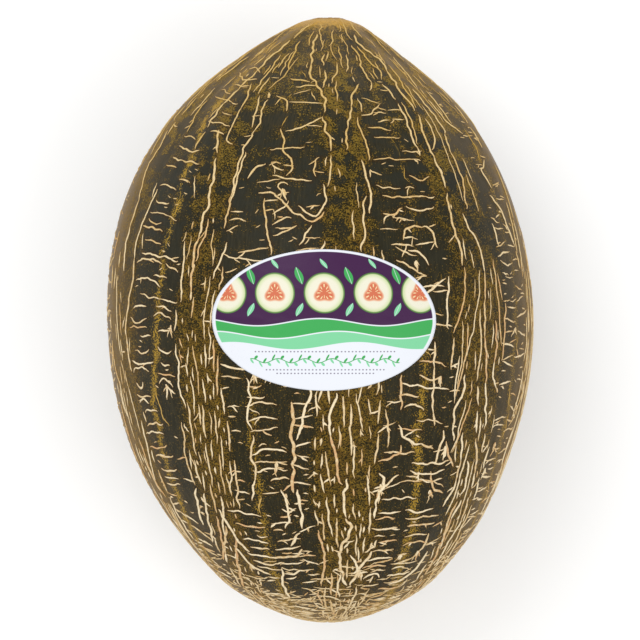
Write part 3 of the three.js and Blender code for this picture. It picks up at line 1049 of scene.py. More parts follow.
    def scatter_chance(self, family: Family, turn: Array, arc: Array) -> Array:
        """How likely a scattered seed is to be kept where it lies.

        Rays stay near the stem tip, grains in the dark bands, and the rest round the blossom
        tip and in the dense patch beside it.

        Args:
            family: The family.
            turn: The seeds' turns.
            arc: Their distances.

        Returns:
            A chance for each seed.
        """
        skin_map = self.skin_map
        if family.seeding is Seeding.RAYS:
            return smoothstep(-arc, -self.ray_fall[1], -self.ray_fall[0])
        if family.seeding is Seeding.GRAINS:
            inside = self.bands.margins(skin_map.band_turn(turn, arc), arc)[0]
            return smoothstep(inside, -0.5, 1.0) * smoothstep(arc / skin_map.total, *self.grain_rise)
        points = skin_map.skin.points(turn, skin_map.station_at(arc))
        from_tip = np.linalg.norm(points - self.blossom_point(), axis=-1)
        from_star = np.linalg.norm(points - self.point(*self.star), axis=-1)
        far = self.blossom_reach[int(family.heading > 45.0)]
        near = smoothstep(-from_tip, -far, -34.0) * smoothstep(from_tip, 5.0, 8.0)
        return np.maximum(near, smoothstep(-from_star, -11.0, -5.0))

    def blossom_point(self) -> Array:
        """The point on the skin where the bands meet at the blossom end.

        Returns:
            Its place in millimetres.
        """
        arcs = np.linspace(0.85 * self.skin_map.total, self.skin_map.total, 400)
        gap = np.abs(self.skin_map.radius_at(arcs) - self.skin_map.droop(arcs))
        return self.point(180.0, arcs[np.argmin(gap)])

    def point(self, turn: float, arc: float) -> Array:
        """The point on the skin at a turn and a distance from the stem tip."""
        return self.skin_map.skin.points(np.array(turn), self.skin_map.station_at(np.array(arc)))

    def grow_family(self, family: Family, starts: list[Array], first_number: int) -> Cracks:
        """Grows one family's cracks from their seeds, all at once.

        Each step goes the step length along the bands' direction, turned by the crack's heading,
        by its bend so far and by quick jitter.

        Args:
            family: The family.
            starts: The seeds' turns, distances, headings, lengths and widths.
            first_number: The number of the first crack, for the grid.

        Returns:
            The cracks that have at least three points.
        """
        skin_map, rng = self.skin_map, self.rng
        on_cracks = family.seeding in (Seeding.FORKS, Seeding.STARS)
        blocked = skin_map.guard if family.keeps_clear else skin_map.owner
        free = (blocked[skin_map.cells(*starts[:2])] == 0) | on_cracks
        turn, arc, heading, length, width = (values[free] for values in starts)
        size = len(turn)
        number = first_number + np.arange(size, dtype=np.int32)
        steps = np.maximum((length / self.step).astype(int), 2)
        turns, arcs, count = [turn], [arc], np.ones(size, dtype=int)
        alive, joined = np.ones(size, dtype=bool), np.zeros(size, dtype=bool)
        bend, kink = rng.normal(0.0, family.bend * self.step, size), np.zeros(size)
        parents = skin_map.owner[skin_map.cells(turn, arc)]
        for index in range(int(steps.max())):
            kink = 0.45 * kink + rng.normal(0.0, family.kink, size)
            angle = np.radians(heading + bend * index + kink)
            new_turn, new_arc = self.stepped(turn, arc, angle, alive)
            alive &= (index < steps) & (new_arc > 1.5) & (new_arc < skin_map.total - 1.5)
            if family.stays_dark:
                alive &= self.bands.margins(skin_map.band_turn(new_turn, new_arc), new_arc)[0] > -0.8
            cells = skin_map.cells(new_turn, new_arc)
            other, close = skin_map.owner[cells], skin_map.guard[cells]
            met = (other > 0) & (other != number) & ((other != parents) | (index > 3))
            met &= (index > 2) | (not on_cracks)
            if family.keeps_clear:
                alive &= ~((close > 0) & (close != number))
            turn, arc = np.where(alive, new_turn, turn), np.where(alive, new_arc, arc)
            count += alive
            joined |= alive & met
            for share in (0.34, 0.67, 1.0):
                skin_map.mark(
                    skin_map.owner, (turns[-1] + share * (turn - turns[-1]))[alive],
                    (arcs[-1] + share * (arc - arcs[-1]))[alive], number[alive], 0.2)
            turns.append(turn)
            arcs.append(arc)
            alive &= ~met
            if not alive.any():
                break
        turn, arc, kept = np.stack(turns, axis=1), np.stack(arcs, axis=1), count >= 3
        valid = (np.arange(turn.shape[1])[None, :] < count[:, None]) & kept[:, None]
        numbers = np.broadcast_to(number[:, None], turn.shape)
        skin_map.mark(skin_map.guard, turn[valid], arc[valid], numbers[valid], self.clearance)
        turn, arc = turn[kept], arc[kept]
        late = 0.82 + 0.36 * smoothstep(arc[:, 0] / skin_map.total, 0.3, 0.75)
        gold, height, start = (
            np.full(len(arc), value) for value in (family.gold, family.height, on_cracks))
        return Cracks(turn, arc, count[kept], width[kept] * late, joined[kept], gold, height, start)

    def stepped(self, turn: Array, arc: Array, angle: Array, alive: Array) -> tuple[Array, Array]:
        """Where cracks get to in a step, at an angle to the bands' direction.

        Args:
            turn: Their turns.
            arc: Their distances.
            angle: Their angles, in radians.
            alive: Whether each still grows. The distance of one that doesn't stays.

        Returns:
            The new turns and distances.
        """
        run = self.skin_map.run[self.skin_map.cells(turn, arc)]
        go_round = run[:, 0] * np.cos(angle) + run[:, 1] * np.sin(angle)
        go_along = run[:, 1] * np.cos(angle) - run[:, 0] * np.sin(angle)
        radius = np.maximum(self.skin_map.radius_at(arc), 1.5)
        new_turn = turn + np.degrees(self.step * go_round / radius) * alive
        return new_turn, arc + self.step * go_along * alive


# ---- Meshes ----


def mesh_object(name: str, points: Array, quads: Array, triangles: Array = NO_TRIANGLES) -> Object:
    """Makes a mesh object from arrays.

    Args:
        name: The object's name.
        points: Its vertices in metres.
        quads: Rows of four vertex numbers.
        triangles: Rows of three vertex numbers.

    Returns:
        The object, smooth shaded and linked to the scene.
    """
    mesh = bpy.data.meshes.new(name)
    corners = np.concatenate([quads.ravel(), triangles.ravel()]).astype(np.int32)
    sizes = np.concatenate([np.full(len(quads), 4), np.full(len(triangles), 3)])
    starts = np.concatenate([[0], np.cumsum(sizes)[:-1]]).astype(np.int32)
    mesh.vertices.add(len(points))
    mesh.vertices.foreach_set("co", points.astype(np.float32).ravel())
    mesh.loops.add(len(corners))
    mesh.loops.foreach_set("vertex_index", corners)
    mesh.polygons.add(len(sizes))
    mesh.polygons.foreach_set("loop_start", starts)
    mesh.polygons.foreach_set("use_smooth", np.ones(len(sizes), dtype=bool))
    mesh.update(calc_edges=True)
    mesh.validate()
    piece = bpy.data.objects.new(name, mesh)
    bpy.context.scene.collection.objects.link(piece)
    return piece


def set_attribute(piece: Object, name: str, values: Array) -> None:
    """Gives each vertex of a piece a number, or a row of three, under a name."""
    kind, key = ("FLOAT", "value") if values.ndim == 1 else ("FLOAT_VECTOR", "vector")
    piece.data.attributes.new(name, kind, "POINT").data.foreach_set(key, values.astype(np.float32).ravel())


def ring_quads(rings: int, columns: int) -> Array:
    """The faces between neighbouring rings of points, the first ring's points numbered from 0.

    Args:
        rings: How many rings there are.
        columns: How many points a ring has.

    Returns:
        Rows of four point numbers.
    """
    ring, column = np.meshgrid(np.arange(rings - 1) * columns, np.arange(columns), indexing="ij")
    beside = (column + 1) % columns
    corners = (ring + column, ring + columns + column, ring + columns + beside, ring + beside)
    return np.stack(corners, axis=-1).reshape(-1, 4)


class Piece:
    """What the sub-assemblies share: how a piece that they build is dressed."""

    @staticmethod
    def dress(piece: Object, material: Material, slot: str) -> None:
        """Gives a piece its material and its place on the only body.

        Args:
            piece: The piece.
            material: Its material.
            slot: Not used.
        """
        piece.data.materials.append(material)
        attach(piece, "root")


@dataclass
class Rind(Piece):
    """The rind: one closed skin of equal cells, with what its finish needs at each vertex."""

    skin_map: SkinMap
    bands: Bands
    distance: Array
    blossom: Array
    columns: int = 400
    rings: int = 244
    end_margin: float = 0.7
    pillow: float = 0.1
    pillow_width: float = 1.2
    stem_scar: float = 4.4
    stem_depth: float = 0.7
    rim_height: float = 0.25
    streak_radius: float = 73.5
    streak_stretch: float = 0.16

    def build(self, finish: Material) -> Object:
        """Builds the rind.

        Rings of points stand at equal distances along the skin. The lift is a low pillow
        beside each crack, a dip in the stem scar and a raised rim round it. A fan closes
        each tip.

        Args:
            finish: Its material.

        Returns:
            The rind's object.
        """
        skin_map = self.skin_map
        arcs = np.linspace(self.end_margin, skin_map.total - self.end_margin, self.rings)
        turns = np.arange(self.columns) * 360.0 / self.columns - 180.0
        turn, arc = np.meshgrid(turns, arcs)
        near = skin_map.read(self.distance, turn, arc)
        lift = self.pillow * np.exp(-((near / self.pillow_width) ** 2)) + self.scar_lift(arc)
        points = skin_map.skin.points(turn, skin_map.station_at(arc), lift)
        stations, lifts = np.array([0.0, 180.0]), np.array([-self.stem_depth, 0.0])
        tips = skin_map.skin.points(np.zeros(2), stations, lifts)
        points = np.concatenate([points.reshape(-1, 3), tips])
        piece = mesh_object("rind", points * MM, ring_quads(self.rings, self.columns), self.fans())
        self.add_attributes(piece, turn, arc, near, points)
        self.dress(piece, finish, "rind")
        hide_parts("melon")
        return piece

    def scar_lift(self, arc: Array) -> Array:
        """The stem scar's dip with its rim: a smooth step down inside a low round ridge."""
        rim = self.rim_height * np.exp(-(((arc - self.stem_scar - 0.7) / 0.8) ** 2))
        return -self.stem_depth * (1.0 - smoothstep(arc, self.stem_scar - 1.2, self.stem_scar)) + rim

    def fans(self) -> Array:
        """The faces that close the two tips.

        Returns:
            Rows of three point numbers.
        """
        column = np.arange(self.columns)
        beside = (column + 1) % self.columns
        last = (self.rings - 1) * self.columns
        stem = np.full(self.columns, self.rings * self.columns)
        first_fan = np.stack([column, beside, stem], axis=-1)
        return np.concatenate([first_fan, np.stack([last + beside, last + column, stem + 1], axis=-1)])

    def add_attributes(
        self, piece: Object, turn: Array, arc: Array, near: Array, points: Array,
    ) -> None:
        """Stores what the finish reads: millimetres to edges, veins, cracks and tips.

        A streak's place is the ring point's own on a straight tube, pressed short along it.

        Args:
            piece: The rind.
            turn: The ring points' turns.
            arc: Their distances.
            near: Their distances to the nearest crack.
            points: All the points, in millimetres.
        """
        total = self.skin_map.total
        inside, from_vein, nearest = self.bands.margins(self.skin_map.band_turn(turn, arc), arc)
        gilt = self.bands.blended("gilt", nearest, arc)
        for name, values, at_tips in (
            ("inside", inside, (0.0, 0.0)), ("vein", from_vein, (9.0, 9.0)),
            ("gilt", gilt, (0.0, 0.0)), ("crack", near, (2.0, 2.0)), ("tip", arc, (0.0, total)),
        ):
            set_attribute(piece, name, np.concatenate([values.ravel(), at_tips]))
        set_attribute(piece, "bloom", np.linalg.norm(points - self.blossom, axis=-1))
        angle, radius, stretch = np.radians(turn), self.streak_radius, self.streak_stretch
        streak = np.stack([radius * np.sin(angle), radius * np.cos(angle), stretch * arc], axis=-1)
        tips = [[0, 0, 0], [0, 0, stretch * total]]
        set_attribute(piece, "streak", np.concatenate([streak.reshape(-1, 3), tips]))


@dataclass
class CorkRidges(Piece):
    """The net as raised cork: each crack is a tapered closed strip that stands on the rind.

    `label` is where the sticker lies: its middle's turn, and half its size each way.
    """

    skin_map: SkinMap
    rng: np.random.Generator
    foot_depth: float = 0.05
    edge_width: float = 0.17
    shoulder: float = 0.56
    free_taper: float = 3.2
    taper_step: float = 0.9
    joined_width: float = 0.62
    tip_width: float = 0.16
    label: tuple[float, float, float] = (1.2, 38.6, 23.4)
    under_label: float = 0.42
    inset: float = 0.02

    def build(self, name: str, cracks: Cracks, finish: Material) -> Object:
        """Builds one object from many cracks.

        A crack's section has four points: two feet sunk in the rind and two shoulders. It is
        carried along the crack's points, square to its way, and its width tapers to each
        free end.

        Args:
            name: The object's name.
            cracks: The cracks.
            finish: The material.

        Returns:
            The object.
        """
        steps = np.arange(cracks.turn.shape[1])[None, :]
        last = cracks.count[:, None] - 1
        valid = steps <= last
        centre, normal = self.skin_map.skin.frame_at(cracks.turn, self.skin_map.station_at(cracks.arc))
        ahead = np.take_along_axis(centre, np.minimum(steps + 1, last)[..., None], axis=1)
        behind = np.take_along_axis(centre, np.clip(steps - 1, 0, last)[..., None], axis=1)
        way = ahead - behind
        way /= np.linalg.norm(way, axis=-1, keepdims=True) + 1e-9
        across = np.cross(way, normal)
        width = self.widths(cracks, steps, last)
        height = self.heights(cracks, width)
        foot, top = 0.5 * width + self.edge_width, 0.5 * self.shoulder * width
        sunk = np.full(width.shape, -self.foot_depth)
        rows = [
            centre + side[..., None] * across + lift[..., None] * normal
            for side, lift in ((-foot, sunk), (-top, height), (top, height), (foot, sunk))
        ]
        points = np.stack(rows, axis=2)[valid].reshape(-1, 3)
        low, high = (np.array(corner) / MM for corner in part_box("melon"))
        points = np.clip(points, low + self.inset, high - self.inset)
        piece = mesh_object(name, points * MM, self.quads(cracks.count))
        self.add_attributes(piece, cracks, width, valid)
        self.dress(piece, finish, "rind")
        return piece

    def widths(self, cracks: Cracks, steps: Array, last: Array) -> Array:
        """Each point's width: the crack's own, uneven, and tapered towards its ends.

        Args:
            cracks: The cracks.
            steps: The points' numbers along a crack.
            last: Each crack's last number.

        Returns:
            A width for each point.
        """
        reach = np.maximum(np.minimum(self.free_taper / self.taper_step, 0.55 * last), 1.0)
        start, end = (
            np.where(joined[:, None], np.maximum(rise, self.joined_width), rise)
            for joined, rise in (
                (cracks.start_joined, smoothstep(steps / reach, -0.25, 1.0)),
                (cracks.joined, smoothstep((last - steps) / reach, -0.25, 1.0)),
            ))
        uneven = self.rng.normal(1.0, 0.13, steps.shape[1] * len(cracks.count))
        uneven = np.clip(uneven.reshape(len(cracks.count), -1), 0.7, 1.35)
        taper = self.tip_width + (1.0 - self.tip_width) * start * end
        return cracks.width[:, None] * taper * uneven

    def heights(self, cracks: Cracks, width: Array) -> Array:
        """Each point's height over the skin: lower where it is narrow or under the sticker.

        Args:
            cracks: The cracks.
            width: The width at each point.

        Returns:
            A height for each point.
        """
        middle, half_across, half_along = self.label
        skin = self.skin_map.skin
        across = np.radians(cracks.turn - middle) * 0.5 * skin.width / half_across
        along = np.radians(self.skin_map.station_at(cracks.arc) - 90.0)
        bare = smoothstep(np.hypot(across, along * 0.5 * skin.length / half_along), 0.97, 1.05)
        lowered = self.under_label + (1.0 - self.under_label) * bare
        own = self.rng.uniform(0.82, 1.12, len(cracks.count))[:, None]
        return cracks.height[:, None] * own * np.clip(0.45 + 0.7 * width, 0.5, 1.1) * lowered

    def quads(self, count: Array) -> Array:
        """The faces along each crack's four sides, and those that close its two ends.

        Args:
            count: How many points each crack has.

        Returns:
            Rows of four point numbers.
        """
        after = 4 * np.cumsum(count)
        first, end = after - 4 * count, after - 4
        start = np.setdiff1d(4 * np.arange(count.sum()), end)
        sides = [
            np.stack([start + a, start + b, start + 4 + b, start + 4 + a], axis=-1)
            for a, b in ((0, 1), (1, 2), (2, 3), (3, 0))
        ]
        first_cap = np.stack([first + 3, first + 2, first + 1, first], axis=-1)
        last_cap = np.stack([end, end + 1, end + 2, end + 3], axis=-1)
        return np.concatenate([*sides, first_cap, last_cap])

    def add_attributes(
        self, piece: Object, cracks: Cracks, width: Array, valid: Array,
    ) -> None:
        """Stores what the finish reads: the dark edge, the crack's own tone, gold and width.

        Args:
            piece: The object.
            cracks: Its cracks.
            width: The width at each of their points.
            valid: Which of the padded points are real.
        """
        # edge is 1 at the feet, where the finish lays dark brown that is partly painted shade.
        set_attribute(piece, "edge", np.tile([1.0, 0.0, 0.0, 1.0], int(valid.sum())))
        early = 1.0 - smoothstep(cracks.arc / self.skin_map.total, 0.1, 0.6)
        tone = self.rng.uniform(0, 1, len(cracks.count))[:, None]
        for name, values in (
            ("tone", tone), ("early", early), ("gold", cracks.gold[:, None]), ("thick", width),
        ):
            set_attribute(piece, name, np.repeat(np.broadcast_to(values, valid.shape)[valid], 4))


@dataclass
class Sticker(Piece):
    """The oval sticker: thin printed paper that drapes over the net."""

    skin_map: SkinMap
    distance: Array
    turn: float = 1.2
    across: float = 77.2
    along: float = 46.8
    thickness: float = 0.13
    clearance: float = 0.2
    drape: float = 0.08
    drape_width: float = 0.9
    rings: int = 48
    sectors: int = 160

    def build(self, finish: Material) -> Object:
        """Builds the sticker.

        Rings of points from the middle to the oval's edge follow the skin at a small lift, which
        rises over each crack. The same rings, lower by the thickness, are its underside.

        Args:
            finish: Its material.

        Returns:
            The sticker's object, with a UV map over the oval's box.
        """
        reach = np.linspace(0.0, 1.0, self.rings + 1)[1:, None]
        angle = (np.arange(self.sectors) * 2 * np.pi / self.sectors)[None, :]
        unit_x = np.concatenate([[0.0], (reach * np.cos(angle)).ravel()])
        unit_y = np.concatenate([[0.0], (reach * np.sin(angle)).ravel()])
        skin = self.skin_map.skin
        turn = self.turn + np.degrees(unit_x * self.across / skin.width)
        station = 90.0 - np.degrees(unit_y * self.along / skin.length)
        arc = np.interp(station, self.skin_map.stations, self.skin_map.arcs)
        near = self.skin_map.read(self.distance, turn, arc)
        lift = self.clearance + self.drape * np.exp(-((near / self.drape_width) ** 2))
        points = [skin.points(turn, station, lift + rise) for rise in (self.thickness, 0.0)]
        piece = mesh_object("sticker", np.concatenate(points) * MM, *self.faces(len(unit_x)))
        uv = np.tile(np.stack([0.5 + 0.5 * unit_x, 0.5 + 0.5 * unit_y], axis=-1), (2, 1))
        corners = np.zeros(len(piece.data.loops), dtype=np.int32)
        piece.data.loops.foreach_get("vertex_index", corners)
        layer = piece.data.uv_layers.new(name="Print")
        layer.data.foreach_set("uv", uv[corners].astype(np.float32).ravel())
        self.dress(piece, finish, "label")
        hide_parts("label")
        return piece

    def faces(self, size: int) -> tuple[Array, Array]:
        """The faces of the top, the underside and the cut edge.

        Args:
            size: How many points one side has.

        Returns:
            Quads and triangles.
        """
        sector = np.arange(self.sectors)
        beside = (sector + 1) % self.sectors
        top = 1 + ring_quads(self.rings, self.sectors)
        fan = np.stack([np.zeros_like(sector), 1 + sector, 1 + beside], axis=-1)
        rim = 1 + (self.rings - 1) * self.sectors
        edge = np.stack([rim + sector, size + rim + sector, size + rim + beside, rim + beside], axis=-1)
        return np.concatenate([top, size + top[:, ::-1], edge]), np.concatenate([fan, size + fan[:, ::-1]])


# ---- Finishes ----


def paint(code: str) -> tuple[float, float, float, float]:
    """A colour written as #rrggbb, as the four linear values that shaders use."""
    srgb = np.array([int(code[i:i + 2], 16) for i in (1, 3, 5)]) / 255.0
    return (*np.where(srgb <= 0.04045, srgb / 12.92, ((srgb + 0.055) / 1.055) ** 2.4).tolist(), 1.0)


class Graph:
    """Adds nodes to a shader tree and joins them.

    Values may be numbers, vectors, colours written as #rrggbb, or other nodes' outputs.
    """

    def __init__(self, tree: NodeTree) -> None:
        """Starts on a tree."""
        self.tree = tree

    def feed(self, socket: NodeSocket, value: Any) -> None:
        """Gives an input its value, or links it to another node's output.

        Args:
            socket: The input.
            value: The value or the output.
        """
        if isinstance(value, NodeSocket):
            self.tree.links.new(value, socket)
        else:
            socket.default_value = paint(value) if isinstance(value, str) else value

    def node(self, kind: str, inputs: dict[Any, Any] | None = None, **settings: Any) -> Node:
        """Adds a node.

        Args:
            kind: The node's Blender type.
            inputs: Values or sockets for its inputs, by name or number.
            settings: The node's own properties.

        Returns:
            The node.
        """
        made = self.tree.nodes.new(kind)
        for name, value in settings.items():
            setattr(made, name, value)
        for name, value in (inputs or {}).items():
            self.feed(made.inputs[name], value)
        return made

    def math(self, operation: str, first: Any, second: Any = 0.0, third: Any = 0.0) -> Any:
        """Arithmetic on numbers."""
        return self.node("ShaderNodeMath", {0: first, 1: second, 2: third}, operation=operation).outputs[0]

    def times(self, first: Any, second: Any) -> Any:
        """The product of two values."""
        return self.math("MULTIPLY", first, second)

    def less(self, first: Any, second: Any) -> Any:
        """The first value less the second."""
        return self.math("SUBTRACT", first, second)

    def scaled(self, value: Any, factor: Any, start: Any) -> Any:
        """A start plus a value times a factor."""
        return self.math("MULTIPLY_ADD", value, factor, start)

    def jittered(self, value: Any, noise: Any, amount: Any) -> Any:
        """A value moved to and fro by noise, over an amount in all."""
        return self.scaled(self.less(noise, 0.5), amount, value)

    def size(self, value: Any) -> Any:
        """A value without its sign."""
        return self.math("ABSOLUTE", value)

    def ramp(self, value: Any, low: float, high: float) -> Any:
        """A smooth ramp of the value, from 0 at low to 1 at high, whichever is the greater."""
        down = float(high < low)
        return self.node("ShaderNodeMapRange", {
            "Value": value, "From Min": min(low, high), "From Max": max(low, high),
            "To Min": down, "To Max": 1.0 - down,
        }, interpolation_type="SMOOTHSTEP").outputs["Result"]

    def mix(self, share: Any, first: Any, second: Any) -> Any:
        """A colour between two, at a share from 0 to 1."""
        made = self.node("ShaderNodeMix", {0: share, 6: first, 7: second}, data_type="RGBA")
        return made.outputs[2]

    def noise(self, vector: Any, scale: float, detail: float = 2.0, roughness: float = 0.5) -> Any:
        """Smooth noise from 0 to 1, `scale` waves to a unit."""
        inputs = {"Vector": vector, "Scale": scale, "Detail": detail, "Roughness": roughness}
        return self.node("ShaderNodeTexNoise", inputs).outputs["Fac"]

    def attribute(self, name: str, output: str = "Fac") -> Any:
        """A vertex attribute's value."""
        return self.node("ShaderNodeAttribute", attribute_name=name).outputs[output]

    def object_place(self) -> Any:
        """The place on the object, in metres."""
        return self.node("ShaderNodeTexCoord").outputs["Object"]


def speckle_group() -> NodeTree:
    """Makes a node group of fine specks, used on the rind and on the net.

    Its mask is fine noise cut at a height that falls as the density rises, and its tone is a
    second, broader noise.

    Returns:
        The group.
    """
    group = bpy.data.node_groups.new("specks", "ShaderNodeTree")
    for name, way, kind in (
        ("Vector", "INPUT", "Vector"), ("Scale", "INPUT", "Float"), ("Density", "INPUT", "Float"),
        ("Mask", "OUTPUT", "Float"), ("Tone", "OUTPUT", "Float"),
    ):
        group.interface.new_socket(name, in_out=way, socket_type=f"NodeSocket{kind}")
    g = Graph(group)
    given = g.node("NodeGroupInput").outputs
    fine = g.noise(given["Vector"], given["Scale"], 1.0, 0.5)
    over = g.less(fine, g.scaled(given["Density"], -0.36, 0.7))
    tone = g.noise(given["Vector"], g.times(given["Scale"], 0.37), 2.0, 0.6)
    g.node("NodeGroupOutput", {"Mask": g.ramp(over, -0.015, 0.03), "Tone": g.ramp(tone, 0.38, 0.66)})
    return group


class Surface(Graph):
    """A new material's graph, with the colour that the coats laid so far come to."""

    def __init__(self, name: str) -> None:
        """Starts a material with a Principled shader.

        Args:
            name: The material's name.
        """
        self.material = bpy.data.materials.new(name)
        self.material.use_nodes = True
        self.shader = self.material.node_tree.nodes["Principled BSDF"]
        self.colour: Any = None
        super().__init__(self.material.node_tree)

    def lay(self, mask: Any, coat: Any, strength: float = 1.0) -> None:
        """Lays a coat of a colour where a mask is 1. A strength of 1 hides what is under it."""
        share = mask if strength == 1.0 else self.times(mask, strength)
        self.colour = self.mix(share, self.colour, coat)

    def speckled(self, specks: NodeTree, scale: float, density: Any) -> tuple[Any, Any]:
        """Places the group of specks.

        Args:
            specks: The group.
            scale: Its noise's waves to a metre.
            density: How thickly the specks lie.

        Returns:
            Their mask and their tone.
        """
        made = self.node("ShaderNodeGroup", node_tree=specks)
        for name, value in (("Vector", self.object_place()), ("Scale", scale), ("Density", density)):
            self.feed(made.inputs[name], value)
        return made.outputs["Mask"], made.outputs["Tone"]

    def lay_painted_sheen(self, coat: str, strength: float) -> None:
        """Lays a painted sheen: a warm coat where the surface turns away from the camera, standing in for
        studio light reflected at grazing angles.
        """
        facing = self.node("ShaderNodeLayerWeight", {"Blend": 0.5}).outputs["Facing"]
        self.lay(self.ramp(facing, 0.42, 0.85), coat, strength)

    def finished(
        self, roughness: Any, shine: float, relief: Any, strength: float, depth: float,
    ) -> Material:
        """Feeds the shader.

        Args:
            roughness: How rough the surface is.
            shine: The shader's specular level.
            relief: The height that the bump reads.
            strength: How strong the bump is.
            depth: How deep it is, in metres.

        Returns:
            The material.
        """
        bump = self.node("ShaderNodeBump", {"Strength": strength, "Distance": depth, "Height": relief})
        for name, value in (
            ("Base Color", self.colour), ("Roughness", roughness), ("Specular IOR Level", shine),
            ("Normal", bump.outputs["Normal"]),
        ):
            self.feed(self.shader.inputs[name], value)
        return self.material


@dataclass(frozen=True)
class RindFinish:
    """The rind's skin: dark bands, olive bands with gold specks, golden veins and tips, with a painted
    sheen where it turns away.
    """

    dark: str = "#242113"
    dark_light: str = "#332e1d"
    olive: str = "#1d1704"
    olive_light: str = "#2d260b"
    gold: str = "#4a3a10"
    gold_light: str = "#826722"
    green_gold: str = "#947a2b"
    rust: str = "#7c591b"
    vein: str = "#b48f30"
    # Painted sheen: the colour laid where the rind turns away from the camera.
    painted_sheen: str = "#866214"
    halo: str = "#2c1d07"
    charcoal: str = "#26271f"
    shoulder: str = "#6f5726"
    scar: str = "#a88a58"
    scar_dark: str = "#5d4523"
    tip: str = "#dcaa45"
    bloom: str = "#8f7440"
    ground: str = "#a08b48"
    speck_scale: float = 2100.0
    shine: float = 0.09
    bump_depth: float = 0.00014

    def material(self, specks: NodeTree) -> Material:
        """Builds the rind's material.

        Args:
            specks: The shared group of fine specks.

        Returns:
            The material.
        """
        g = Surface("rind skin")
        place = g.object_place()
        crack, tip, gilt = g.attribute("crack"), g.attribute("tip"), g.attribute("gilt")
        vein = g.size(g.attribute("vein"))
        blotch = g.noise(place, 230.0, 3.0)
        ragged = g.noise(place, 420.0, 4.0, 0.6)
        fine = g.noise(place, 1000.0, 3.0, 0.6)
        streaks = g.noise(g.attribute("streak", "Vector"), 1.4, 4.0, 0.65)

        # The bands, with ragged edges, and charcoal spots towards the stem end.
        stray = g.scaled(g.ramp(tip, 75.0, 10.0), 14.0, 7.0)
        inside = g.jittered(g.jittered(g.attribute("inside"), ragged, stray), blotch, stray)
        dark = g.ramp(inside, -2.7, 2.2)
        dark_colour = g.mix(g.ramp(streaks, 0.4, 0.72), self.dark, self.dark_light)
        olive_colour = g.mix(g.ramp(fine, 0.4, 0.65), self.olive, self.olive_light)
        g.colour = g.mix(dark, olive_colour, dark_colour)
        spots = g.times(g.ramp(g.noise(place, 175.0, 4.0, 0.6), 0.44, 0.6), g.ramp(tip, 160.0, 65.0))
        g.lay(spots, self.charcoal, 0.85)

        # The specks: thick in the olive bands, near cracks, along veins and at both ends.
        near = g.ramp(crack, 2.6, 0.2)
        vein_zone = g.times(g.ramp(g.jittered(vein, ragged, 4.0), 3.0, 0.4), gilt)
        towards_stem = g.ramp(tip, 120.0, 45.0)
        density = g.scaled(dark, -0.5, 0.57)
        for mask, share in (
            (near, 0.14), (vein_zone, 0.46), (g.less(blotch, 0.5), 0.5),
            (towards_stem, g.scaled(dark, 0.21, 0.1)), (g.ramp(g.attribute("bloom"), 62.0, 20.0), 0.35),
            (spots, -0.75),
        ):
            density = g.scaled(mask, share, density)
        speck, tone = g.speckled(specks, self.speck_scale, density)
        gold_colour = g.mix(tone, self.gold, self.gold_light)
        for mask, share, code in (
            (towards_stem, 0.55, self.green_gold), (near, 0.35, self.rust), (vein_zone, 0.9, self.vein),
        ):
            gold_colour = g.mix(g.times(mask, share), gold_colour, code)
        g.lay(speck, gold_colour, 0.8)

        # Fine golden lines along the veins, and a brown halo round each crack.
        drawn = g.times(g.ramp(g.jittered(vein, fine, 1.1), 0.3, 0.05), g.ramp(ragged, 0.4, 0.6))
        g.lay(g.times(drawn, g.times(gilt, 0.6)), self.vein)
        g.lay(g.ramp(g.jittered(crack, fine, 1.4), 0.8, 0.1), self.halo, 0.6)
        self.lay_tips(g, streaks, fine)
        self.lay_rest(g, streaks, fine)
        # Painted sheen on the rind's limbs, standing in for studio light reflected at grazing angles.
        g.lay_painted_sheen(self.painted_sheen, 0.45)

        gloss = g.scaled(speck, 0.1, g.scaled(fine, 0.25, 0.3))
        relief = g.scaled(speck, 0.35, g.scaled(streaks, 0.6, g.times(fine, 0.6)))
        return g.finished(gloss, self.shine, relief, 0.5, self.bump_depth)

    def lay_tips(self, g: Surface, streaks: Any, fine: Any) -> None:
        """Lays the pale shoulder, the golden crown, the stem scar and the tan blossom end.

        Args:
            g: The material's graph.
            streaks: Noise drawn out along the fruit.
            fine: Fine noise.
        """
        from_tip, from_bloom = g.attribute("tip"), g.attribute("bloom")
        g.lay(g.times(g.ramp(from_tip, 95.0, 25.0), g.ramp(streaks, 0.35, 0.62)), self.shoulder, 0.3)
        crown = g.ramp(g.jittered(g.jittered(from_tip, streaks, 20.0), fine, 16.0), 19.0, 9.0)
        g.lay(g.times(crown, g.scaled(g.ramp(streaks, 0.42, 0.6), 0.36, 0.6)), self.tip)
        scar = g.jittered(from_tip, fine, 2.2)
        rings = g.math("SINE", g.scaled(scar, 2.6, g.times(fine, 16.0)))
        cork = g.mix(g.ramp(rings, -1.4, 0.9), self.scar_dark, self.scar)
        g.lay(g.ramp(scar, 7.4, 6.2), self.scar_dark, 0.55)
        g.lay(g.ramp(scar, 5.6, 4.8), cork)
        g.lay(g.ramp(g.jittered(from_bloom, fine, 24.0), 26.0, 4.0), self.bloom, 0.7)
        g.lay(g.ramp(g.jittered(from_bloom, fine, 4.0), 5.6, 4.4), cork)

    def lay_rest(self, g: Surface, streaks: Any, fine: Any) -> None:
        """Lays the pale spot that the fruit lay on, and the net pressed flat on it.

        Args:
            g: The material's graph.
            streaks: Noise drawn out along the fruit.
            fine: Fine noise.
        """
        height = g.node("ShaderNodeSeparateXYZ", {"Vector": g.object_place()}).outputs["Z"]
        low = g.jittered(g.jittered(height, streaks, 0.02), fine, 0.012)
        g.lay(g.ramp(low, 0.011, -0.002), self.ground, 0.55)
        pressed = g.ramp(g.jittered(g.attribute("crack"), fine, 0.8), 0.6, 0.3)
        g.lay(g.times(pressed, g.ramp(height, 0.0005, 0.0002)), self.scar, 0.8)


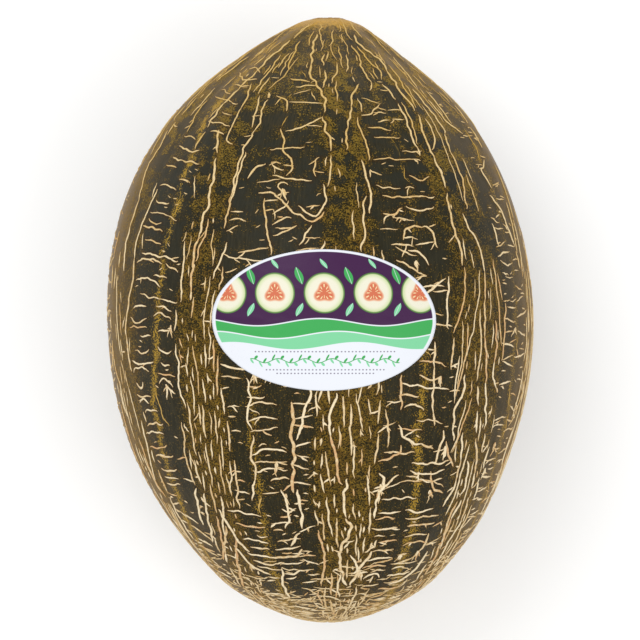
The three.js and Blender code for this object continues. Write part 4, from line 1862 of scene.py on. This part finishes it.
@dataclass(frozen=True)
class CorkFinish:
    """The net's cork: cream to tan, pinkish here and there, with thin dark brown edges that are partly its
    brown margin and partly painted shade, and a painted sheen where it turns away.
    """

    cream: str = "#e6d4b0"
    tan: str = "#c9a873"
    golden: str = "#c8a450"
    pink: str = "#cf9a72"
    # Dark brown of the cork's specks, and of its feet, where it is partly painted shade.
    edge: str = "#3f2a0e"
    gold: str = "#b08a2e"
    # Painted sheen: the colour laid where the cork turns away from the camera.
    painted_sheen: str = "#a87f2c"
    speck_scale: float = 2200.0
    shine: float = 0.18
    bump_depth: float = 0.00012

    def material(self, specks: NodeTree) -> Material:
        """Builds the net's material.

        Args:
            specks: The shared group of fine specks.

        Returns:
            The material.
        """
        g = Surface("net cork")
        place = g.object_place()
        tone, early = g.attribute("tone"), g.attribute("early")
        mottle = g.noise(place, 700.0, 3.0, 0.6)
        fine = g.noise(place, 2600.0, 2.0, 0.6)
        g.colour = g.mix(g.ramp(g.scaled(tone, 0.6, mottle), 0.6, 1.2), self.cream, self.tan)
        g.lay(early, self.golden, 0.72)
        pinkish = g.times(g.ramp(tone, 0.78, 0.95), g.ramp(mottle, 0.4, 0.6))
        g.lay(g.times(pinkish, g.ramp(early, 0.8, 0.3)), self.pink, 0.5)
        g.lay(g.ramp(g.attribute("thick"), 0.45, 0.2), self.tan, 0.6)
        g.lay(g.speckled(specks, self.speck_scale, 0.2)[0], self.edge, 0.3)
        g.lay(g.attribute("gold"), self.gold)
        # Painted sheen on the cork where it turns away, standing in for reflected studio light.
        g.lay_painted_sheen(self.painted_sheen, 0.5)
        # Dark brown at each ridge's feet: partly the cork's brown margin, partly painted shade in the
        # crease where the ridge meets the rind.
        g.lay(g.ramp(g.jittered(g.attribute("edge"), fine, 0.5), 0.35, 0.75), self.edge, 0.9)
        relief = g.math("ADD", mottle, g.times(fine, 0.5))
        return g.finished(g.scaled(fine, 0.2, 0.62), self.shine, relief, 0.6, self.bump_depth)


class Print(Surface):
    """A printed sheet's surface, with the place on it in millimetres from its middle."""

    def __init__(self, name: str, across: float, along: float) -> None:
        """Starts a material that reads the UV map called Print.

        Args:
            name: The material's name.
            across: The sheet's size across, in millimetres.
            along: Its size along.
        """
        super().__init__(name)
        uv = self.node("ShaderNodeUVMap", uv_map="Print").outputs["UV"]
        parts = self.node("ShaderNodeSeparateXYZ", {"Vector": uv}).outputs
        self.x = self.scaled(parts["X"], across, -0.5 * across)
        self.y = self.scaled(parts["Y"], along, -0.5 * along)

    def oval(self, x: Any, y: Any, half_x: float, half_y: float) -> Any:
        """How far out a place lies in an oval: 0 in its middle and 1 on its edge."""
        wide, high = self.math("DIVIDE", x, half_x), self.math("DIVIDE", y, half_y)
        return self.math("SQRT", self.math("ADD", self.times(wide, wide), self.times(high, high)))

    def repeated(self, pitch: float, start: float) -> Any:
        """The distance across from the nearest of many places, a pitch apart."""
        return self.math("WRAP", self.less(self.x, start), 0.5 * pitch, -0.5 * pitch)


@dataclass(frozen=True)
class StickerFinish:
    """The sticker's print: round slices and leaves on plum, two wavy bands and a garland on white.

    Its sizes are in millimetres from the oval's middle.
    """

    across: float = 77.2
    along: float = 46.8
    border: float = 0.8
    pitch: float = 16.4
    slice_height: float = 8.9
    slice_size: float = 6.7
    garland_height: float = -13.4
    garland_half: float = 25.2
    white: str = "#d9dce3"
    plum: str = "#3a1340"
    green: str = "#3a9e50"
    mint: str = "#78c595"
    flesh: str = "#dbd8c4"
    rind_pale: str = "#b7c98e"
    heart: str = "#c4694a"
    heart_pale: str = "#d69a78"
    seed: str = "#e2cf9f"
    peel: str = "#4f7a33"
    ink: str = "#86818f"
    shine: float = 0.22
    bump_depth: float = 0.00008

    def material(self) -> Material:
        """Builds the sticker's material.

        Returns:
            The material.
        """
        g = Print("sticker print", self.across, self.along)
        g.colour = self.white
        for foot, code, phase in (
            (-8.4, self.mint, 0.0), (-5.1, self.white, 0.9), (-4.7, self.green, 0.9),
            (-0.9, self.white, 1.8), (-0.5, self.plum, 1.8),
        ):
            wave = g.math("SINE", g.scaled(g.x, 0.15, phase))
            g.lay(g.ramp(g.less(g.y, g.scaled(wave, 1.2, foot)), -0.08, 0.08), code)
        self.lay_leaves(g)
        self.lay_slices(g)
        self.lay_garland(g)
        reach = g.oval(g.x, g.y, 0.5 * self.across, 0.5 * self.along)
        edge = 1.0 - 2.0 * self.border / self.along
        g.lay(g.ramp(reach, edge - 0.005, edge + 0.005), self.white)
        paper = g.noise(g.object_place(), 1200.0, 3.0)
        return g.finished(g.scaled(paper, 0.12, 0.36), self.shine, paper, 0.15, self.bump_depth)

    def lay_slices(self, g: Print) -> None:
        """Lays a row of round slices: peel, pale rind, flesh, a three-lobed heart and its seeds.

        The heart's edge is a circle that swells three times a turn, and the seeds are ovals
        twelve times a turn.

        Args:
            g: The print's graph.
        """
        beside, lift = g.repeated(self.pitch, 0.0), g.less(g.y, self.slice_height)
        out = g.times(g.oval(beside, lift, 1.0, 1.0), 1.0 / self.slice_size)
        for size, soft, code in (
            (1.0, 0.02, self.peel), (0.93, 0.03, self.rind_pale), (0.84, 0.16, self.flesh),
        ):
            g.lay(g.ramp(out, size + soft, size - soft), code)
        angle = g.math("ARCTAN2", lift, beside)
        lobes = g.math("COSINE", g.scaled(angle, 3.0, 0.5 * math.pi))
        heart = g.scaled(lobes, -0.09, out)
        g.lay(g.ramp(heart, 0.52, 0.42), self.heart_pale)
        g.lay(g.ramp(heart, 0.44, 0.34), self.heart)
        spokes = g.ramp(g.math("COSINE", g.times(angle, 12.0)), 0.35, 0.75)
        g.lay(g.times(spokes, g.ramp(g.size(g.less(heart, 0.27)), 0.1, 0.05)), self.seed)

    def lay_leaves(self, g: Print) -> None:
        """Lays pointed leaves with a pale rib, between the slices.

        A leaf's half-width falls off with the square of the distance from its middle.

        Args:
            g: The print's graph.
        """
        for shift, height, half, wide, lean, code in (
            (0.5, 14.6, 2.9, 1.3, 0.35, self.green), (0.5, 3.4, 2.2, 1.0, -0.5, self.mint),
            (0.0, 18.6, 1.7, 0.8, 0.7, self.mint),
        ):
            up = g.less(g.y, height)
            beside = g.size(g.scaled(up, lean, g.repeated(self.pitch, shift * self.pitch)))
            share = g.math("DIVIDE", up, half)
            inside = g.less(g.scaled(g.times(share, share), -wide, wide), beside)
            g.lay(g.ramp(inside, -0.06, 0.06), code)
            g.lay(g.times(g.ramp(beside, 0.16, 0.06), g.ramp(inside, 0.0, 0.2)), self.white, 0.6)

    def lay_garland(self, g: Print) -> None:
        """Lays a fine stem in waves with small leaves on both sides, and three rows of dots.

        Args:
            g: The print's graph.
        """
        wave = g.math("SINE", g.times(g.x, 2.0 * math.pi / 9.0))
        lift = g.less(g.y, g.scaled(wave, 0.7, self.garland_height))
        near = g.ramp(g.size(g.x), self.garland_half + 0.2, self.garland_half)
        g.lay(g.times(g.ramp(g.size(lift), 0.2, 0.12), near), self.green)
        for side, code in ((-1.0, self.mint), (1.0, self.green)):
            above = g.less(lift, 0.8 * side)
            lean = g.scaled(above, -0.6 * side, g.repeated(3.0, 0.75 * side))
            g.lay(g.times(g.ramp(g.oval(lean, above, 0.42, 0.75), 1.15, 0.9), near), code)
        for row, half in ((-10.4, 24.0), (-16.4, 20.4), (-17.6, 16.8)):
            dot = g.ramp(g.oval(g.repeated(1.2, 0.6), g.less(g.y, row), 0.3, 0.24), 1.2, 0.8)
            g.lay(g.times(dot, g.ramp(g.size(g.x), half + 0.1, half)), self.ink)


# ---- The studio ----


@dataclass(frozen=True)
class Studio:
    """A pale floor, soft white light and the camera, which looks straight down on the fruit."""

    floor_half: float = 3.0
    floor_colour: tuple[float, float, float] = (0.97, 0.97, 0.965)
    floor_roughness: float = 0.9
    sky_strength: float = 0.95
    lens: float = 244.0
    sensor: float = 36.0
    view_width: float = 0.2211
    focus_height: float = 0.0713

    def build(self) -> None:
        """Makes the floor, the world, the lights and the camera."""
        self.make_floor()
        self.make_world()
        self.make_light("key light", (-0.55, 0.6, 1.3), 0.9, 6.5)
        self.make_light("fill light", (0.7, -0.4, 1.2), 0.9, 3.5)
        self.make_camera()
        bpy.context.scene.view_settings.view_transform = "Standard"
        bpy.context.scene.view_settings.look = "None"

    def make_floor(self) -> None:
        """A plain pale sheet under the fruit."""
        half = self.floor_half
        corners = np.array([[-half, -half, 0], [half, -half, 0], [half, half, 0], [-half, half, 0]])
        floor = mesh_object("floor", corners, np.array([[0, 1, 2, 3]]))
        pale = Surface("pale floor")
        pale.shader.inputs["Base Color"].default_value = (*self.floor_colour, 1.0)
        pale.shader.inputs["Roughness"].default_value = self.floor_roughness
        floor.data.materials.append(pale.material)

    def make_world(self) -> None:
        """An even white surround."""
        world = bpy.data.worlds.new("studio")
        world.use_nodes = True
        background = world.node_tree.nodes["Background"]
        background.inputs["Color"].default_value = (1.0, 1.0, 1.0, 1.0)
        background.inputs["Strength"].default_value = self.sky_strength
        bpy.context.scene.world = world

    def make_light(self, name: str, place: tuple[float, float, float], size: float, power: float) -> None:
        """A square soft light that faces the fruit.

        Args:
            name: Its name.
            place: Where it hangs, in metres.
            size: Its side.
            power: Its watts.
        """
        data = bpy.data.lights.new(name, "AREA")
        data.size, data.energy = size, power
        light = bpy.data.objects.new(name, data)
        light.location = place
        light.rotation_mode = "QUATERNION"
        aim = Vector((0.0, 0.0, self.focus_height)) - Vector(place)
        light.rotation_quaternion = aim.to_track_quat("-Z", "Y")
        bpy.context.scene.collection.objects.link(light)

    def make_camera(self) -> None:
        """A camera over the fruit's middle, with the stem end at the top of its picture."""
        data = bpy.data.cameras.new("camera")
        data.lens, data.sensor_width = self.lens, self.sensor
        camera = bpy.data.objects.new("camera", data)
        away = self.view_width * self.lens / self.sensor
        camera.location = (0.0, 0.0, self.focus_height + away)
        bpy.context.scene.collection.objects.link(camera)
        bpy.context.scene.camera = camera


# ---- Assembly ----


def report(piece: Object) -> None:
    """Logs how many vertices and triangles a piece has."""
    corners = len(piece.data.loops) - 2 * len(piece.data.polygons)
    LOG.info("%s: %d vertices, %d triangles", piece.name, len(piece.data.vertices), corners)


def main() -> None:
    """Builds the fruit, its net and its sticker, and then the studio."""
    logging.basicConfig(level=logging.INFO, format="%(message)s")
    rng = np.random.default_rng(SEED)
    skin = Skin().centred_in(*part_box("melon"))
    skin_map = SkinMap(skin)
    bands = Bands(skin_map, rng)
    net = Net(skin_map, bands, rng)
    long_cracks, cross_cracks = net.grow()
    distance = skin_map.crack_distance(4.0)

    specks = speckle_group()
    rind = Rind(skin_map, bands, distance, net.blossom_point())
    report(rind.build(RindFinish().material(specks)))
    cork, ridges = CorkFinish().material(specks), CorkRidges(skin_map, rng)
    report(ridges.build("net_long", long_cracks, cork))
    report(ridges.build("net_cross", cross_cracks, cork))
    report(Sticker(skin_map, distance).build(StickerFinish().material()))
    Studio().build()


if __name__ == "__main__":
    main()
